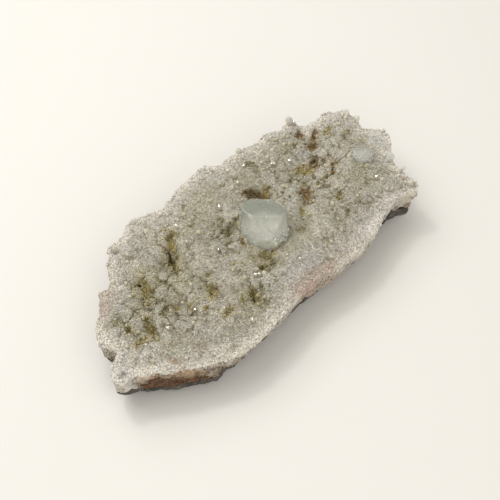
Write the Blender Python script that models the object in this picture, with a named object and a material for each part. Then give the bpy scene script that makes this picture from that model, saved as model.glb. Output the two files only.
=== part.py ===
# An apophyllite cluster: a crust of small pointed crystals on a slab of dark basalt, with one
# large blocky crystal and one smaller one seated in the crust.
#
# Lengths are in millimetres, and MM turns them into metres. +X runs along the specimen towards
# its right tip, +Y towards its far edge and +Z up. The origin is under the middle of the whole
# piece, on the surface that it rests on.

import math
import random

import bmesh
import bpy
import numpy as np
from mathutils import Matrix, Vector
from mathutils.geometry import delaunay_2d_cdt

MM = 0.001
SEED = 20251               # every random choice below starts from it

# Driving dimensions of the slab and the crust
HALF_WIDTH = 43.0          # half of the specimen across, along Y
RIM_HEIGHT = 24.0          # top of the crust's rim at mid width, above the surface
RIM_SLOPE = 3.0            # how much higher the far rim is, and how much lower the near one
TIP_RISE = 2.4             # the right tip stands higher by this
TIP_REACH = (35.0, 80.0)   # between these places along X
SEAM_HEIGHT = 12.5         # top of the basalt at mid width
SEAM_SLOPE = 2.0           # the seam climbs towards the far edge too
SEAM_WAVE = 1.3            # waviness of the seam
GAP = 0.3                  # between pieces that touch
DOME = 4.0                 # how far the middle of the crust stands above its rim
DOME_REACH = 17.0          # distance from the edge over which it climbs
SPINE_HALF = 52.0          # the rings shrink towards a line of this half length along X

# The crystals of the crust. Apophyllite's pyramid faces lie 60.4 degrees from its base face.
FACE_SLOPE = math.radians(60.4)
EDGE_FROM_AXIS = math.atan(math.sqrt(2.0) / math.tan(FACE_SLOPE))
CRYSTAL_SIZES = ((2.9, 26), (2.5, 60), (2.1, 120), (1.75, 190), (1.4, 150))    # half side, how many
SIZE_SPREAD = (0.88, 1.12)
TRIES_PER_CRYSTAL = 40
CAP_SHARES = (0.42, 0.8)   # a crystal's flat top cuts its pyramid at this share of its height
CAP_BELOW_APEX = 1.3       # every foot is at least this many times further from the apex than the cap
EDGE_REACH = (0.35, 1.9)   # a crystal's edges meet the ground at this share of its height
EDGE_STEPS = 40
CRYSTAL_SPACING = 0.8      # least distance between two crystals, as a share of their half sides
MAX_TILT = math.radians(19.0)
RIM_CRYSTAL_YAW = math.radians(20.0)
RIM_CRYSTAL_CAP = 0.82
VALLEY = 0.4               # the crystals' feet are this far below the broad surface
RIM_CLEARANCE = 0.7        # from a crystal's foot to the outline
RIM_JAG = 0.9              # unevenness of the rim's height

# The ground between the crystals: rings of points round each pit, then scattered ones
PIT_RINGS = ((1.1, 9), (0.5, 6), (0.0, 1))     # share of the pit's size, how many points
PIT_SPACING = 0.9
FILL_SPACING = 3.5
FILL_TRIES = 9000
FOOT_CLEARANCE = (0.75, 0.4)                   # from a foot's corners, from its edges
FILL_JAG = (-0.3, 0.5)

# The broken rim and the seam between the crust and the basalt
RAGGED_LENGTH = 5.5        # outline edges longer than this get a broken middle
RAGGED_DEPTH = 0.7
SEAM_SPACING = 12.0        # between the inner points of the seam
SEAM_JAG = 0.008
DOME_START = -2.0          # the dome has begun to climb before the edge

# The outline, hand measured, in four stretches, clockwise seen from above
LEFT_END = (
    (-90.0, -18.5), (-91.5, -15.5), (-89.5, -13.0), (-87.5, -10.5), (-84.0, -8.5), (-81.0, -5.5),
    (-84.0, -1.0), (-84.5, 2.5), (-83.0, 6.0), (-78.5, 11.0), (-73.5, 15.5), (-68.5, 21.5),
    (-65.5, 20.5), (-61.5, 22.5), (-59.0, 27.0), (-57.5, 31.0), (-54.5, 30.5), (-52.5, 34.5),
)
FAR_EDGE = (
    (-52.5, 37.5), (-49.0, 37.0), (-45.0, 36.5), (-40.0, 40.0), (-33.5, 43.0), (-28.5, 40.0),
    (-22.0, 39.0), (-17.5, 36.0), (-15.5, 39.5), (-7.5, 40.5), (-3.5, 42.0), (4.5, 42.5),
    (12.5, 43.0), (18.0, 38.5), (26.0, 39.5), (32.0, 39.5), (39.0, 37.0), (49.0, 38.0),
    (55.0, 34.0), (59.0, 34.5), (62.5, 36.0), (64.0, 33.5), (63.0, 30.5), (68.0, 26.5),
    (78.5, 26.0), (88.5, 21.0),
)
RIGHT_TIP = (
    (87.5, 16.0), (87.5, 11.5), (85.5, 8.0), (86.0, 5.5), (92.0, 1.5), (93.5, -1.5),
    (92.0, -6.0), (88.0, -10.0), (83.0, -16.0), (81.5, -23.0), (81.0, -29.5), (81.5, -32.0),
    (78.0, -36.0), (73.0, -33.0),
)
NEAR_EDGE = (
    (64.0, -34.0), (56.0, -35.5), (48.5, -38.0), (36.0, -41.0), (28.0, -40.5), (16.5, -40.5),
    (4.0, -39.0), (-3.0, -39.5), (-9.5, -40.5), (-18.5, -42.0), (-26.5, -43.0), (-36.0, -43.0),
    (-43.0, -42.5), (-49.5, -40.5), (-58.0, -36.5), (-65.5, -32.0), (-73.0, -27.5),
    (-79.5, -22.5), (-86.0, -18.0),
)

# Broad relief of the crust: x, y, radius, height
HUMPS = (
    (-76.0, 5.0, 9.0, 1.2), (-39.0, -3.0, 7.0, 2.6), (-75.0, -20.0, 11.0, 1.2),
    (78.0, 15.0, 9.0, 3.2), (85.0, -4.0, 7.0, 2.4), (-12.0, 20.0, 14.0, 1.8),
    (30.0, -25.0, 14.0, 1.4), (50.0, 27.0, 8.0, 1.8), (62.0, -15.0, 12.0, 1.2),
    (-54.5, 7.0, 7.0, -2.2), (-48.0, -10.0, 8.0, -2.2), (-64.0, -8.0, 7.0, -1.6),
    (-33.0, -13.0, 6.0, -1.6), (-20.0, -28.0, 7.0, -1.6), (-2.5, -16.0, 7.0, -2.0),
    (-6.0, 5.5, 7.0, -2.2), (-35.0, 11.0, 8.0, -2.6), (20.0, 9.5, 7.0, -2.6),
    (46.0, 6.5, 9.0, -2.6), (24.0, -12.0, 6.0, -1.4),
)

# Pits between the crystals: x, y, half length, half width, direction in degrees, depth.
# All of them run one of two ways: from near left to far right, or square to that.
ALONG = 47.0
ACROSS = -43.0
PITS = (
    (18.4, 9.1, 6.8, 2.7, ACROSS, 6.5), (22.5, 11.5, 2.8, 1.6, ALONG, 5.0),
    (-3.3, -17.2, 4.9, 3.3, ACROSS, 4.5), (-9.0, -19.5, 2.2, 1.6, ALONG, 5.5),
    (-5.8, -5.9, 1.9, 1.5, ALONG, 4.0), (-5.1, 6.5, 4.6, 3.4, ACROSS, 3.0),
    (-35.7, 10.9, 8.6, 3.7, ALONG, 6.0), (-55.2, 3.0, 6.4, 3.4, ALONG, 4.5),
    (-55.4, 8.8, 2.2, 2.0, ALONG, 7.0), (-65.6, -10.1, 5.2, 2.3, ALONG, 5.5),
    (-73.5, -4.1, 1.9, 1.8, ALONG, 5.5), (-72.5, -12.4, 3.0, 2.1, ALONG, 4.5),
    (-50.8, -6.0, 4.6, 3.6, ALONG, 4.0), (-45.0, -13.0, 3.8, 2.4, ACROSS, 3.5),
    (-33.3, -15.4, 3.3, 2.4, ALONG, 4.5), (-19.0, -27.0, 4.4, 2.3, ALONG, 4.0),
    (-22.3, -30.2, 1.8, 1.5, ALONG, 6.0), (-35.6, -27.1, 2.9, 2.0, ALONG, 4.0),
    (-42.0, -19.8, 1.7, 1.5, ALONG, 3.5), (56.2, 21.9, 2.9, 1.7, ALONG, 5.5),
    (60.3, 15.5, 5.2, 2.3, ALONG, 5.0), (51.5, 4.8, 4.0, 2.2, ACROSS, 5.5),
    (42.4, 7.3, 4.2, 3.3, ACROSS, 4.5), (34.3, -5.0, 3.6, 2.0, ALONG, 4.5),
    (50.0, -4.8, 2.9, 2.2, ALONG, 3.2), (23.6, -12.5, 6.6, 2.1, ALONG, 3.2),
    (17.8, -16.8, 2.9, 1.6, ACROSS, 4.5), (44.5, -16.8, 2.8, 1.6, ALONG, 3.8),
    (71.0, 14.4, 3.6, 1.9, ALONG, 5.5), (74.3, 5.9, 1.8, 1.4, ALONG, 3.5),
    (42.8, -3.9, 1.7, 1.5, ALONG, 3.5),
)
PIT_SHOULDER = (0.4, 1.1)      # a pit's wall runs between these shares of its size
PIT_CLEARANCE = 1.15           # no crystal grows within this share of it
PIT_DEEPENING = 1.3

# Single crystals that stand out at the rim: x, y, half side, tilt towards x and y in degrees
RIM_CRYSTALS = (
    (60.6, 32.6, 2.1, -4.0, 6.0), (-33.5, 39.6, 1.9, -6.0, 8.0), (11.5, 39.8, 1.9, 6.0, 8.0),
    (84.5, 17.8, 2.2, 10.0, 6.0), (78.8, -31.0, 1.7, 12.0, -8.0), (89.6, -2.0, 2.0, 12.0, 0.0),
    (-50.0, 34.2, 1.7, -8.0, 8.0), (-87.4, -14.8, 1.6, -10.0, 0.0),
)

# The two blocky crystals: size, place, height of the base face, attitude, bevels and how much of
# each corner is cut away, upright (chamfers) and at the pyramid's slope (corners)
LARGE_CRYSTAL = {
    "width": 21.5, "depth": 21.0, "height": 13.5, "place": (8.4, -3.6), "top": 36.2,
    "yaw": -45.0, "lean_back": 7.0, "bevel_start": 1.0, "bevel_slope": 31.0,
    "chamfers": (5.6, 7.2, 2.4, 5.4),    # front right, front left, back left, back right
    "corners": (7.4, 9.0, 4.2, 8.0),
    "clear": -1.6,                       # the crust's crystals grow this far in over its plan
}
SECOND_CRYSTAL = {
    "width": 9.6, "depth": 8.6, "height": 7.0, "place": (71.6, -6.2), "top": 32.4,
    "yaw": -36.0, "lean_back": -4.0, "bevel_start": 1.5, "bevel_slope": 24.0,
    "chamfers": (1.2, 2.0, 0.8, 1.6),
    "corners": (2.2, 3.0, 1.8, 2.8),
    "clear": -1.0,
}

# Rings of the crust's side, as shares of the way from the seam to the rim, and how far the side
# leans in below the rim, as a share of its distance from the spine
CRUST_RINGS = (0.78, 0.5, 0.24)
CRUST_JAG = (0.036, 1.5)                 # steps sideways as a share, and in height
UNDERCUT = {"left": 0.03, "far": 0.02, "right": 0.04, "near": 0.075, "strip": -0.015}
# Rings of the basalt: share of the seam's height, and how far in, as a share again
BASALT_RINGS = ((0.84, 0.004), (0.58, 0.03), (0.34, 0.08), (0.17, 0.17), (0.06, 0.28), (0.0, 0.36))
BASALT_JAG = (0.034, 1.1)
BASALT_SWAY = 0.55                       # how unevenly the slab narrows downwards
CHIP_LENGTHS = (3, 7)                    # points of a ring that one broken face spans
CHIP_ROUGHNESS = 0.35                    # of the points within one broken face
STRIP_FROM_X = -50.0      # left of this the near side is a steep broken face

COLOURS = {
    "matrix": ((0.035, 0.031, 0.028), 0.85),
    "crystal_crust": ((0.62, 0.60, 0.52), 0.45),
    "large_crystal": ((0.56, 0.62, 0.58), 0.12),
    "second_crystal": ((0.60, 0.66, 0.64), 0.12),
}


def loop_points():
    """The outline with its long edges broken in two, and the stretch that each point is on."""
    chance = random.Random(SEED)
    stretches = (("left", LEFT_END), ("far", FAR_EDGE), ("right", RIGHT_TIP), ("near", NEAR_EDGE))
    corners = [(name, point) for name, points in stretches for point in points]
    corners.reverse()
    points, names = [], []
    for (name, here), (_, there) in zip(corners, corners[1:] + corners[:1]):
        if name == "near" and here[0] < STRIP_FROM_X:
            name = "strip"
        points.append(here)
        names.append(name)
        run = np.subtract(there, here)
        length = float(np.hypot(*run))
        if length > RAGGED_LENGTH:
            share = chance.uniform(0.35, 0.65)
            sideways = np.array((run[1], -run[0])) / length * chance.uniform(-1.0, 0.4) * RAGGED_DEPTH
            points.append(tuple(np.add(here, run * share) + sideways))
            names.append(name)
    return np.array(points), names


def inside(points, loop):
    """True for each point that lies within the loop, by the even-odd rule."""
    x, y = points[:, 0, None], points[:, 1, None]
    here, there = loop, np.roll(loop, -1, axis=0)
    crosses = (here[:, 1] > y) != (there[:, 1] > y)
    slope = (there[:, 0] - here[:, 0]) / (there[:, 1] - here[:, 1] + 1e-12)
    return (crosses & (x < here[:, 0] + slope * (y - here[:, 1]))).sum(axis=1) % 2 == 1


def edge_distance(points, loop):
    """Distance from each point to the nearest edge of the loop."""
    here, there = loop[None], np.roll(loop, -1, axis=0)[None]
    run = there - here
    share = ((points[:, None] - here) * run).sum(axis=2) / (run ** 2).sum(axis=2)
    nearest = here + run * np.clip(share, 0.0, 1.0)[..., None]
    return np.sqrt(((points[:, None] - nearest) ** 2).sum(axis=2).min(axis=1))


def smooth_step(value, low, high):
    share = np.clip((value - low) / (high - low), 0.0, 1.0)
    return share * share * (3.0 - 2.0 * share)


def pit_shares(points):
    """Distance of each point from each pit's middle, as a share of the pit's size."""
    px, py, half_length, half_width, direction, _ = np.array(PITS).T
    turn = np.radians(direction)
    x, y = points[:, 0, None] - px, points[:, 1, None] - py
    along = x * np.cos(turn) + y * np.sin(turn)
    across = y * np.cos(turn) - x * np.sin(turn)
    return np.hypot(along / half_length, across / half_width)


def rim_height(points):
    """Height of the crust's rim: it climbs towards the far edge and towards the right tip."""
    tip = TIP_RISE * smooth_step(points[:, 0], *TIP_REACH)
    return RIM_HEIGHT + RIM_SLOPE * points[:, 1] / HALF_WIDTH + tip


def ground(points, loop):
    """Height of the broad crust surface: tilted rim, dome, humps and basins, then the pits."""
    z = rim_height(points) + DOME * smooth_step(edge_distance(points, loop), DOME_START, DOME_REACH)
    hx, hy, radius, height = np.array(HUMPS).T
    square = (points[:, 0, None] - hx) ** 2 + (points[:, 1, None] - hy) ** 2
    z += (height * np.exp(-square / radius ** 2)).sum(axis=1)
    depth = np.array(PITS)[:, 5] * PIT_DEEPENING
    return z - (depth * (1.0 - smooth_step(pit_shares(points), *PIT_SHOULDER))).max(axis=1)


def seam(points):
    """Height of the surface between the basalt and the crust."""
    x, y = points[:, 0], points[:, 1]
    wave = np.sin(x / 13.0 + 0.6) * np.cos(y / 11.0) + 0.5 * np.sin(x / 5.3 + y / 7.1)
    return SEAM_HEIGHT + SEAM_SLOPE * y / HALF_WIDTH + SEAM_WAVE * wave


def spread(loop, scale):
    """The loop, scaled towards or away from the nearest point of the spine."""
    spine = np.stack([np.clip(loop[:, 0], -SPINE_HALF, SPINE_HALF), np.zeros(len(loop))], axis=1)
    return spine + (loop - spine) * np.reshape(scale, (-1, 1))


def triangles_within(points, edges, loop_size):
    """Delaunay triangles of the points, inside the loop that the first of them make."""
    border = [(i, (i + 1) % loop_size) for i in range(loop_size)]
    result = delaunay_2d_cdt([Vector(p) for p in points], border + edges, [], 0, 1e-5, True)
    vertices, _, faces, sources, _, _ = result
    if any(len(source) != 1 for source in sources) or len(vertices) != len(points):
        raise ValueError("two edges of the plan cross")
    names = np.array([source[0] for source in sources])
    triangles = names[np.array(faces)]
    a, b, c = (points[triangles[:, i]] for i in range(3))
    clockwise = np.cross(b - a, c - a) < 0.0
    triangles[clockwise] = triangles[clockwise][:, ::-1]
    within = inside((a + b + c) / 3.0, points[:loop_size])
    return [tuple(int(i) for i in triangle) for triangle in triangles[within]]


def crystal_frame(yaw, tilt, heading):
    """Turn about the crystal's own axis, then tilt it towards a heading."""
    lean = Matrix.Rotation(tilt, 3, Vector((-math.sin(heading), math.cos(heading), 0.0)))
    return np.array(lean @ Matrix.Rotation(yaw, 3, "Z"))


def crystal_corners(x, y, half_side, frame, keep, loop):
    """Foot and top corners of one pointed crystal, or None where its foot finds no ground.

    Its four edges run down from the apex until they meet the ground, so each face is flat.
    """
    rise = half_side * math.tan(FACE_SLOPE)
    base = ground(np.array([[x, y]]), loop)[0] - VALLEY
    apex = np.array([x, y, base]) + frame[:, 2] * rise
    turns = np.radians([45.0, 135.0, 225.0, 315.0])
    sideways, down = math.sin(EDGE_FROM_AXIS), math.cos(EDGE_FROM_AXIS)
    rays = np.stack([np.cos(turns) * sideways, np.sin(turns) * sideways, np.full(4, -down)]) / down
    rays = (frame @ rays).T
    reach = np.linspace(*EDGE_REACH, EDGE_STEPS) * rise
    path = apex + rays[:, None] * reach[:, None]
    above = path[..., 2] - ground(path[..., :2].reshape(-1, 2), loop).reshape(4, -1) + VALLEY
    first = (above <= 0.0).argmax(axis=1)
    if first.min() == 0:
        return None
    row = np.arange(4)
    share = above[row, first - 1] / (above[row, first - 1] - above[row, first])
    length = reach[first - 1] + (reach[first] - reach[first - 1]) * share
    cap = rise * (1.0 - keep)
    if length.min() < CAP_BELOW_APEX * cap:
        return None
    return apex + rays * length[:, None], apex + rays * cap


def overlaps(one, other):
    """True where two convex outlines overlap, by looking for a line between them."""
    for first, second in ((one, other), (other, one)):
        run = np.roll(first, -1, axis=0) - first
        normals = np.stack([run[:, 1], -run[:, 0]], axis=1)
        reach_first = first @ normals.T
        reach_second = second @ normals.T
        apart = (reach_first.max(axis=0) <= reach_second.min(axis=0))
        apart |= (reach_second.max(axis=0) <= reach_first.min(axis=0))
        if apart.any():
            return False
    return True


def convex(corners):
    """True where an outline turns clearly to the left at each of its corners."""
    run = np.roll(corners, -1, axis=0) - corners
    turn = np.cross(run, np.roll(run, -1, axis=0))
    return bool((turn > 0.02 * (run ** 2).sum(axis=1)).all())


def block_plan(block, margin):
    """Corners of a blocky crystal's plan, grown by a margin."""
    turn = math.radians(block["yaw"])
    half = np.array([[1, -1], [1, 1], [-1, 1], [-1, -1]]) * 0.5
    half = half * (block["width"], block["depth"]) + np.sign(half) * margin
    spin = np.array([[math.cos(turn), -math.sin(turn)], [math.sin(turn), math.cos(turn)]])
    return half @ spin.T + block["place"]


def grow_crystals(loop):
    """The crust's crystals, large ones first, none of whose feet overlap."""
    chance = random.Random(SEED + 1)
    blocks = [block_plan(block, block["clear"]) for block in (LARGE_CRYSTAL, SECOND_CRYSTAL)]
    crystals, plans, spots = [], [], []

    def place(x, y, half_side, frame, keep):
        near = []
        for i, (other_x, other_y, size) in enumerate(spots):
            apart = math.hypot(x - other_x, y - other_y) / (size + half_side)
            if apart < CRYSTAL_SPACING:
                return False
            if apart < EDGE_REACH[1]:
                near.append(i)
        corners = crystal_corners(x, y, half_side, frame, keep, loop)
        if corners is None:
            return False
        plan = corners[0][:, :2]
        if not convex(plan) or not inside(plan, loop).all():
            return False
        if edge_distance(plan, loop).min() < RIM_CLEARANCE:
            return False
        if any(overlaps(plan, other) for other in blocks + [plans[i] for i in near]):
            return False
        plans.append(plan)
        crystals.append(corners)
        spots.append((x, y, half_side))
        return True

    for x, y, half_side, tilt_x, tilt_y in RIM_CRYSTALS:
        heading = math.atan2(tilt_y, tilt_x)
        frame = crystal_frame(RIM_CRYSTAL_YAW, math.radians(math.hypot(tilt_x, tilt_y)), heading)
        place(x, y, half_side, frame, RIM_CRYSTAL_CAP)

    low, high = loop.min(axis=0), loop.max(axis=0)
    for half_side, wanted in CRYSTAL_SIZES:
        placed = 0
        for _ in range(wanted * TRIES_PER_CRYSTAL):
            x, y = chance.uniform(low[0], high[0]), chance.uniform(low[1], high[1])
            yaw, heading = chance.uniform(0.0, math.pi / 2), chance.uniform(0.0, 2.0 * math.pi)
            tilt, keep = chance.uniform(0.0, MAX_TILT), chance.uniform(*CAP_SHARES)
            size = half_side * chance.uniform(*SIZE_SPREAD)
            spot = np.array([[x, y]])
            if not inside(spot, loop)[0] or pit_shares(spot).min() < PIT_CLEARANCE:
                continue
            if place(x, y, size, crystal_frame(yaw, tilt, heading), keep):
                placed += 1
            if placed == wanted:
                break
    return crystals


def fill_points(loop, feet):
    """Points for the valleys and the pits, clear of the crystals' feet and of each other."""
    chance = random.Random(SEED + 2)
    wanted = []
    for pit in PITS:
        px, py, half_length, half_width, direction, _ = pit
        turn = math.radians(direction)
        for share, count in PIT_RINGS:
            for step in range(count):
                angle = 2.0 * math.pi * (step + chance.uniform(-0.25, 0.25)) / count
                along = half_length * share * math.cos(angle)
                across = half_width * share * math.sin(angle)
                x = px + along * math.cos(turn) - across * math.sin(turn)
                y = py + along * math.sin(turn) + across * math.cos(turn)
                wanted.append((x, y, PIT_SPACING))
    low, high = loop.min(axis=0), loop.max(axis=0)
    for _ in range(FILL_TRIES):
        wanted.append((chance.uniform(low[0], high[0]), chance.uniform(low[1], high[1]), FILL_SPACING))
    wanted = np.array(wanted)
    wanted = wanted[inside(wanted[:, :2], loop)]
    wanted = wanted[edge_distance(wanted[:, :2], loop) > RIM_CLEARANCE]
    middles = np.array([plan.mean(axis=0) for plan in feet])
    widest = max(np.hypot(*(plan - middle).T).max() for plan, middle in zip(feet, middles))
    corners = np.concatenate(feet)
    kept = []
    for x, y, spacing in wanted:
        spot = np.array([x, y])
        if np.hypot(*(corners - spot).T).min() < FOOT_CLEARANCE[0]:
            continue
        if kept and np.hypot(*(np.array(kept) - spot).T).min() < spacing:
            continue
        close = np.nonzero(np.hypot(*(middles - spot).T) < widest + FOOT_CLEARANCE[1])[0]
        if any(inside(spot[None], feet[i])[0] for i in close):
            continue
        if any(edge_distance(spot[None], feet[i])[0] < FOOT_CLEARANCE[1] for i in close):
            continue
        kept.append((x, y))
    return np.array(kept)


def mesh_object(name, vertices, faces):
    """A named object with its own material, from vertices in millimetres."""
    mesh = bpy.data.meshes.new(name)
    mesh.from_pydata([tuple(v) for v in np.asarray(vertices) * MM], [], faces)
    mesh.validate()
    part = bpy.data.objects.new(name, mesh)
    bpy.context.scene.collection.objects.link(part)
    if name in COLOURS:
        colour, roughness = COLOURS[name]
        material = bpy.data.materials.new(name)
        material.use_nodes = True
        shader = material.node_tree.nodes["Principled BSDF"]
        shader.inputs["Base Color"].default_value = (*colour, 1.0)
        shader.inputs["Roughness"].default_value = roughness
        shader.inputs["Metallic"].default_value = 0.0
        mesh.materials.append(material)
    return part


def side_faces(upper, lower, count):
    """Quads between two rings of vertices that start at the given numbers, seen from outside."""
    pairs = [(i, (i + 1) % count) for i in range(count)]
    return [(upper + i, lower + i, lower + j, upper + j) for i, j in pairs]


def broken_steps(chance, count, size):
    """Offsets round a ring that stay nearly level over one broken face and jump to the next."""
    steps = []
    while len(steps) < count:
        level = chance.uniform(-size, size)
        span = chance.randint(*CHIP_LENGTHS)
        steps += [level + chance.uniform(-size, size) * CHIP_ROUGHNESS for _ in range(span)]
    return np.array(steps[:count])


def seam_plan(loop, names):
    """The plan that the crust's underside and the basalt's top share."""
    chance = random.Random(SEED + 3)
    scale = np.array([1.0 - UNDERCUT[name] + chance.uniform(-SEAM_JAG, SEAM_JAG) for name in names])
    ring = spread(loop, scale)
    inner = []
    low, high = ring.min(axis=0) + SEAM_SPACING / 2, ring.max(axis=0)
    shift = SEAM_SPACING / 4
    for x in np.arange(low[0], high[0], SEAM_SPACING):
        for y in np.arange(low[1], high[1], SEAM_SPACING):
            inner.append((x + chance.uniform(-shift, shift), y + chance.uniform(-shift, shift)))
    inner = np.array(inner)
    inner = inner[inside(inner, ring)]
    inner = inner[edge_distance(inner, ring) > SEAM_SPACING / 3]
    plan = np.concatenate([ring, inner])
    return ring, plan, triangles_within(plan, [], len(ring))


def make_crust(loop, names, ring, plan, seam_triangles):
    """One closed solid: the crystals and valleys on top, a broken side, and a wavy underside."""
    chance = random.Random(SEED + 4)
    crystals = grow_crystals(loop)
    feet = [corners[0][:, :2] for corners in crystals]
    fill = fill_points(loop, feet)
    count = len(loop)

    rim = rim_height(loop) + np.array([chance.uniform(-RIM_JAG, RIM_JAG) for _ in names])
    top = [np.column_stack([loop, rim])]
    edges = []
    start = count
    for foot, cap in crystals:
        top += [foot, cap]
        for i in range(4):
            j = (i + 1) % 4
            edges += [(start + i, start + j), (start + 4 + i, start + 4 + j), (start + i, start + 4 + i)]
        start += 8
    fill_height = ground(fill, loop) - VALLEY + np.array([chance.uniform(*FILL_JAG) for _ in fill])
    top.append(np.column_stack([fill, fill_height]))
    top = np.concatenate(top)
    faces = triangles_within(top[:, :2], edges, count)

    vertices = [top]
    total = len(top)
    upper = 0
    seam_height = seam(ring) + GAP / 2
    for share in CRUST_RINGS:
        sideways, upwards = (broken_steps(chance, count, jag) for jag in CRUST_JAG)
        between = loop + (ring - loop) * (1.0 - share)
        height = seam_height + (rim - seam_height) * share + upwards
        vertices.append(np.column_stack([spread(between, 1.0 + sideways), height]))
        faces += side_faces(upper, total, count)
        upper = total
        total += count
    vertices.append(np.column_stack([plan, seam(plan) + GAP / 2]))
    faces += side_faces(upper, total, count)
    faces += [(total + a, total + c, total + b) for a, b, c in seam_triangles]
    return mesh_object("crystal_crust", np.concatenate(vertices), faces)


def make_matrix(ring, plan, seam_triangles):
    """The basalt slab: wavy top, chipped sides and a flat facet that it rests on."""
    chance = random.Random(SEED + 5)
    count = len(ring)
    vertices = [np.column_stack([plan, seam(plan) - GAP / 2])]
    faces = list(seam_triangles)
    upper = 0
    total = len(plan)
    top_height = seam(ring) - GAP / 2
    turn = np.arctan2(ring[:, 1], ring[:, 0])
    sway = 1.0 + BASALT_SWAY * (np.sin(2.0 * turn + 0.9) * 0.6 + np.sin(5.0 * turn) * 0.4)
    for share, inset in BASALT_RINGS:
        sideways, upwards = (broken_steps(chance, count, jag) for jag in BASALT_JAG)
        height = top_height * share + upwards * min(1.0, share * 4.0)
        vertices.append(np.column_stack([spread(ring, 1.0 - inset * sway + sideways), height]))
        faces += side_faces(upper, total, count)
        upper = total
        total += count
    foot = vertices[-1][:, :2]
    faces += [(upper + a, upper + c, upper + b) for a, b, c in triangles_within(foot, [], count)]
    return mesh_object("matrix", np.concatenate(vertices), faces)


def make_block(name, block, margin):
    """A blocky tetragonal crystal: an eight-sided prism and its base, bevelled towards its front."""
    shape = bmesh.new()
    bmesh.ops.create_cube(shape, size=1.0)
    width, depth = block["width"] + 2 * margin, block["depth"] + 2 * margin
    height = block["height"] + 2 * margin
    bmesh.ops.scale(shape, vec=(width * MM, depth * MM, height * MM), verts=shape.verts)
    top = height / 2

    def cut(point, normal):
        parts = shape.verts[:] + shape.edges[:] + shape.faces[:]
        place = Vector(point) * MM
        bmesh.ops.bisect_plane(shape, geom=parts, plane_co=place, plane_no=Vector(normal), clear_outer=True)
        rim = [edge for edge in shape.edges if edge.is_boundary]
        bmesh.ops.holes_fill(shape, edges=rim)

    slope = math.radians(block["bevel_slope"])
    cut((0.0, -block["bevel_start"], top), (0.0, -math.sin(slope), math.cos(slope)))
    signs = ((1, -1), (-1, -1), (-1, 1), (1, 1))
    sideways = math.sin(FACE_SLOPE) / math.sqrt(2.0)
    for (sx, sy), reach in zip(signs, block["chamfers"]):
        cut((sx * (width / 2 - reach), sy * depth / 2, 0.0), (sx / math.sqrt(2.0), sy / math.sqrt(2.0), 0.0))
    for (sx, sy), reach in zip(signs, block["corners"]):
        normal = (sx * sideways, sy * sideways, math.cos(FACE_SLOPE))
        level = top
        if sy < 0:
            level = top - (depth / 2 - block["bevel_start"]) * math.tan(slope)
        cut((sx * (width / 2 - reach), sy * depth / 2, level), normal)
    bmesh.ops.recalc_face_normals(shape, faces=shape.faces)
    part = mesh_object(name, [], [])
    shape.to_mesh(part.data)
    shape.free()
    part.rotation_euler = (-math.radians(block["lean_back"]), 0.0, math.radians(block["yaw"]))
    x, y = block["place"]
    part.location = Vector((x, y, block["top"] - block["height"] / 2)) * MM
    return part


def seat(crust, block, name):
    """Cut the socket that a blocky crystal sits in, a little larger than the crystal."""
    cutter = make_block(name, block, GAP)
    cutter.display_type = "WIRE"
    cutter.hide_render = True
    modifier = crust.modifiers.new(name, "BOOLEAN")
    modifier.operation = "DIFFERENCE"
    modifier.solver = "EXACT"
    modifier.object = cutter
    return cutter


def centre_all(parts):
    """Move everything so that the middle of the whole piece stands over the origin."""
    bpy.context.view_layer.update()
    shown = [part for part in parts if not part.hide_render]
    corners = np.array([part.matrix_world @ vertex.co for part in shown for vertex in part.data.vertices])
    middle = (corners.min(axis=0) + corners.max(axis=0)) / 2
    for part in parts:
        part.location = part.location - Vector((middle[0], middle[1], 0.0))


def main():
    for leftover in list(bpy.data.objects):
        bpy.data.objects.remove(leftover)
    loop, names = loop_points()
    ring, plan, seam_triangles = seam_plan(loop, names)
    crust = make_crust(loop, names, ring, plan, seam_triangles)
    matrix = make_matrix(ring, plan, seam_triangles)
    large = make_block("large_crystal", LARGE_CRYSTAL, 0.0)
    second = make_block("second_crystal", SECOND_CRYSTAL, 0.0)
    sockets = [seat(crust, LARGE_CRYSTAL, "large_socket"), seat(crust, SECOND_CRYSTAL, "second_socket")]
    centre_all([crust, matrix, large, second] + sockets)


main()
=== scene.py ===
import math

import bpy
import numpy as np
from mathutils import Matrix, Vector


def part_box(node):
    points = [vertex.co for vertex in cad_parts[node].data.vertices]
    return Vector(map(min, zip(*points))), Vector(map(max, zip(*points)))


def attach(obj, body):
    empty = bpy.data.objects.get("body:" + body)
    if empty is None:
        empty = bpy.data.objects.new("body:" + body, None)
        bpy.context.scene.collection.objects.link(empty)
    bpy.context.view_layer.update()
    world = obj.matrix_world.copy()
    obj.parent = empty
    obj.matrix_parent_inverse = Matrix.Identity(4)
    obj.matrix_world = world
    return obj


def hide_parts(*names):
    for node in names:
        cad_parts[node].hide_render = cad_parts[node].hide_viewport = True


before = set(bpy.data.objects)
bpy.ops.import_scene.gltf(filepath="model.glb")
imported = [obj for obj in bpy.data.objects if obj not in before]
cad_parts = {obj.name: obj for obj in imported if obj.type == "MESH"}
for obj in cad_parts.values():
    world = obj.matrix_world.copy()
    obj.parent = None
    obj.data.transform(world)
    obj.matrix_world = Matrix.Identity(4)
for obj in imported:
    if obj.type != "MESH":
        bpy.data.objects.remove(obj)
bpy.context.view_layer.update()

# Everything below is worked out in millimetres and put into the meshes in metres.
mm = 0.001
chance = np.random.default_rng(417)

# Camera: where the photograph was taken from, seen from the middle of the specimen
cameraView = {
    "azimuth": -43,              # degrees, 0 looks along +Y
    "elevation": 56,
    "distance": 454,             # mm
    "target": (-2.8, -4.8, 20),  # mm
    "lens": 70,
}

# Apophyllite's pyramid faces lie 60.4 degrees from its base face. On a square prism they cut the
# corners, so their edges fall by this much per mm on their way from the tip to a prism face.
pyramidFall = math.tan(math.radians(60.4)) / math.sqrt(2)


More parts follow.
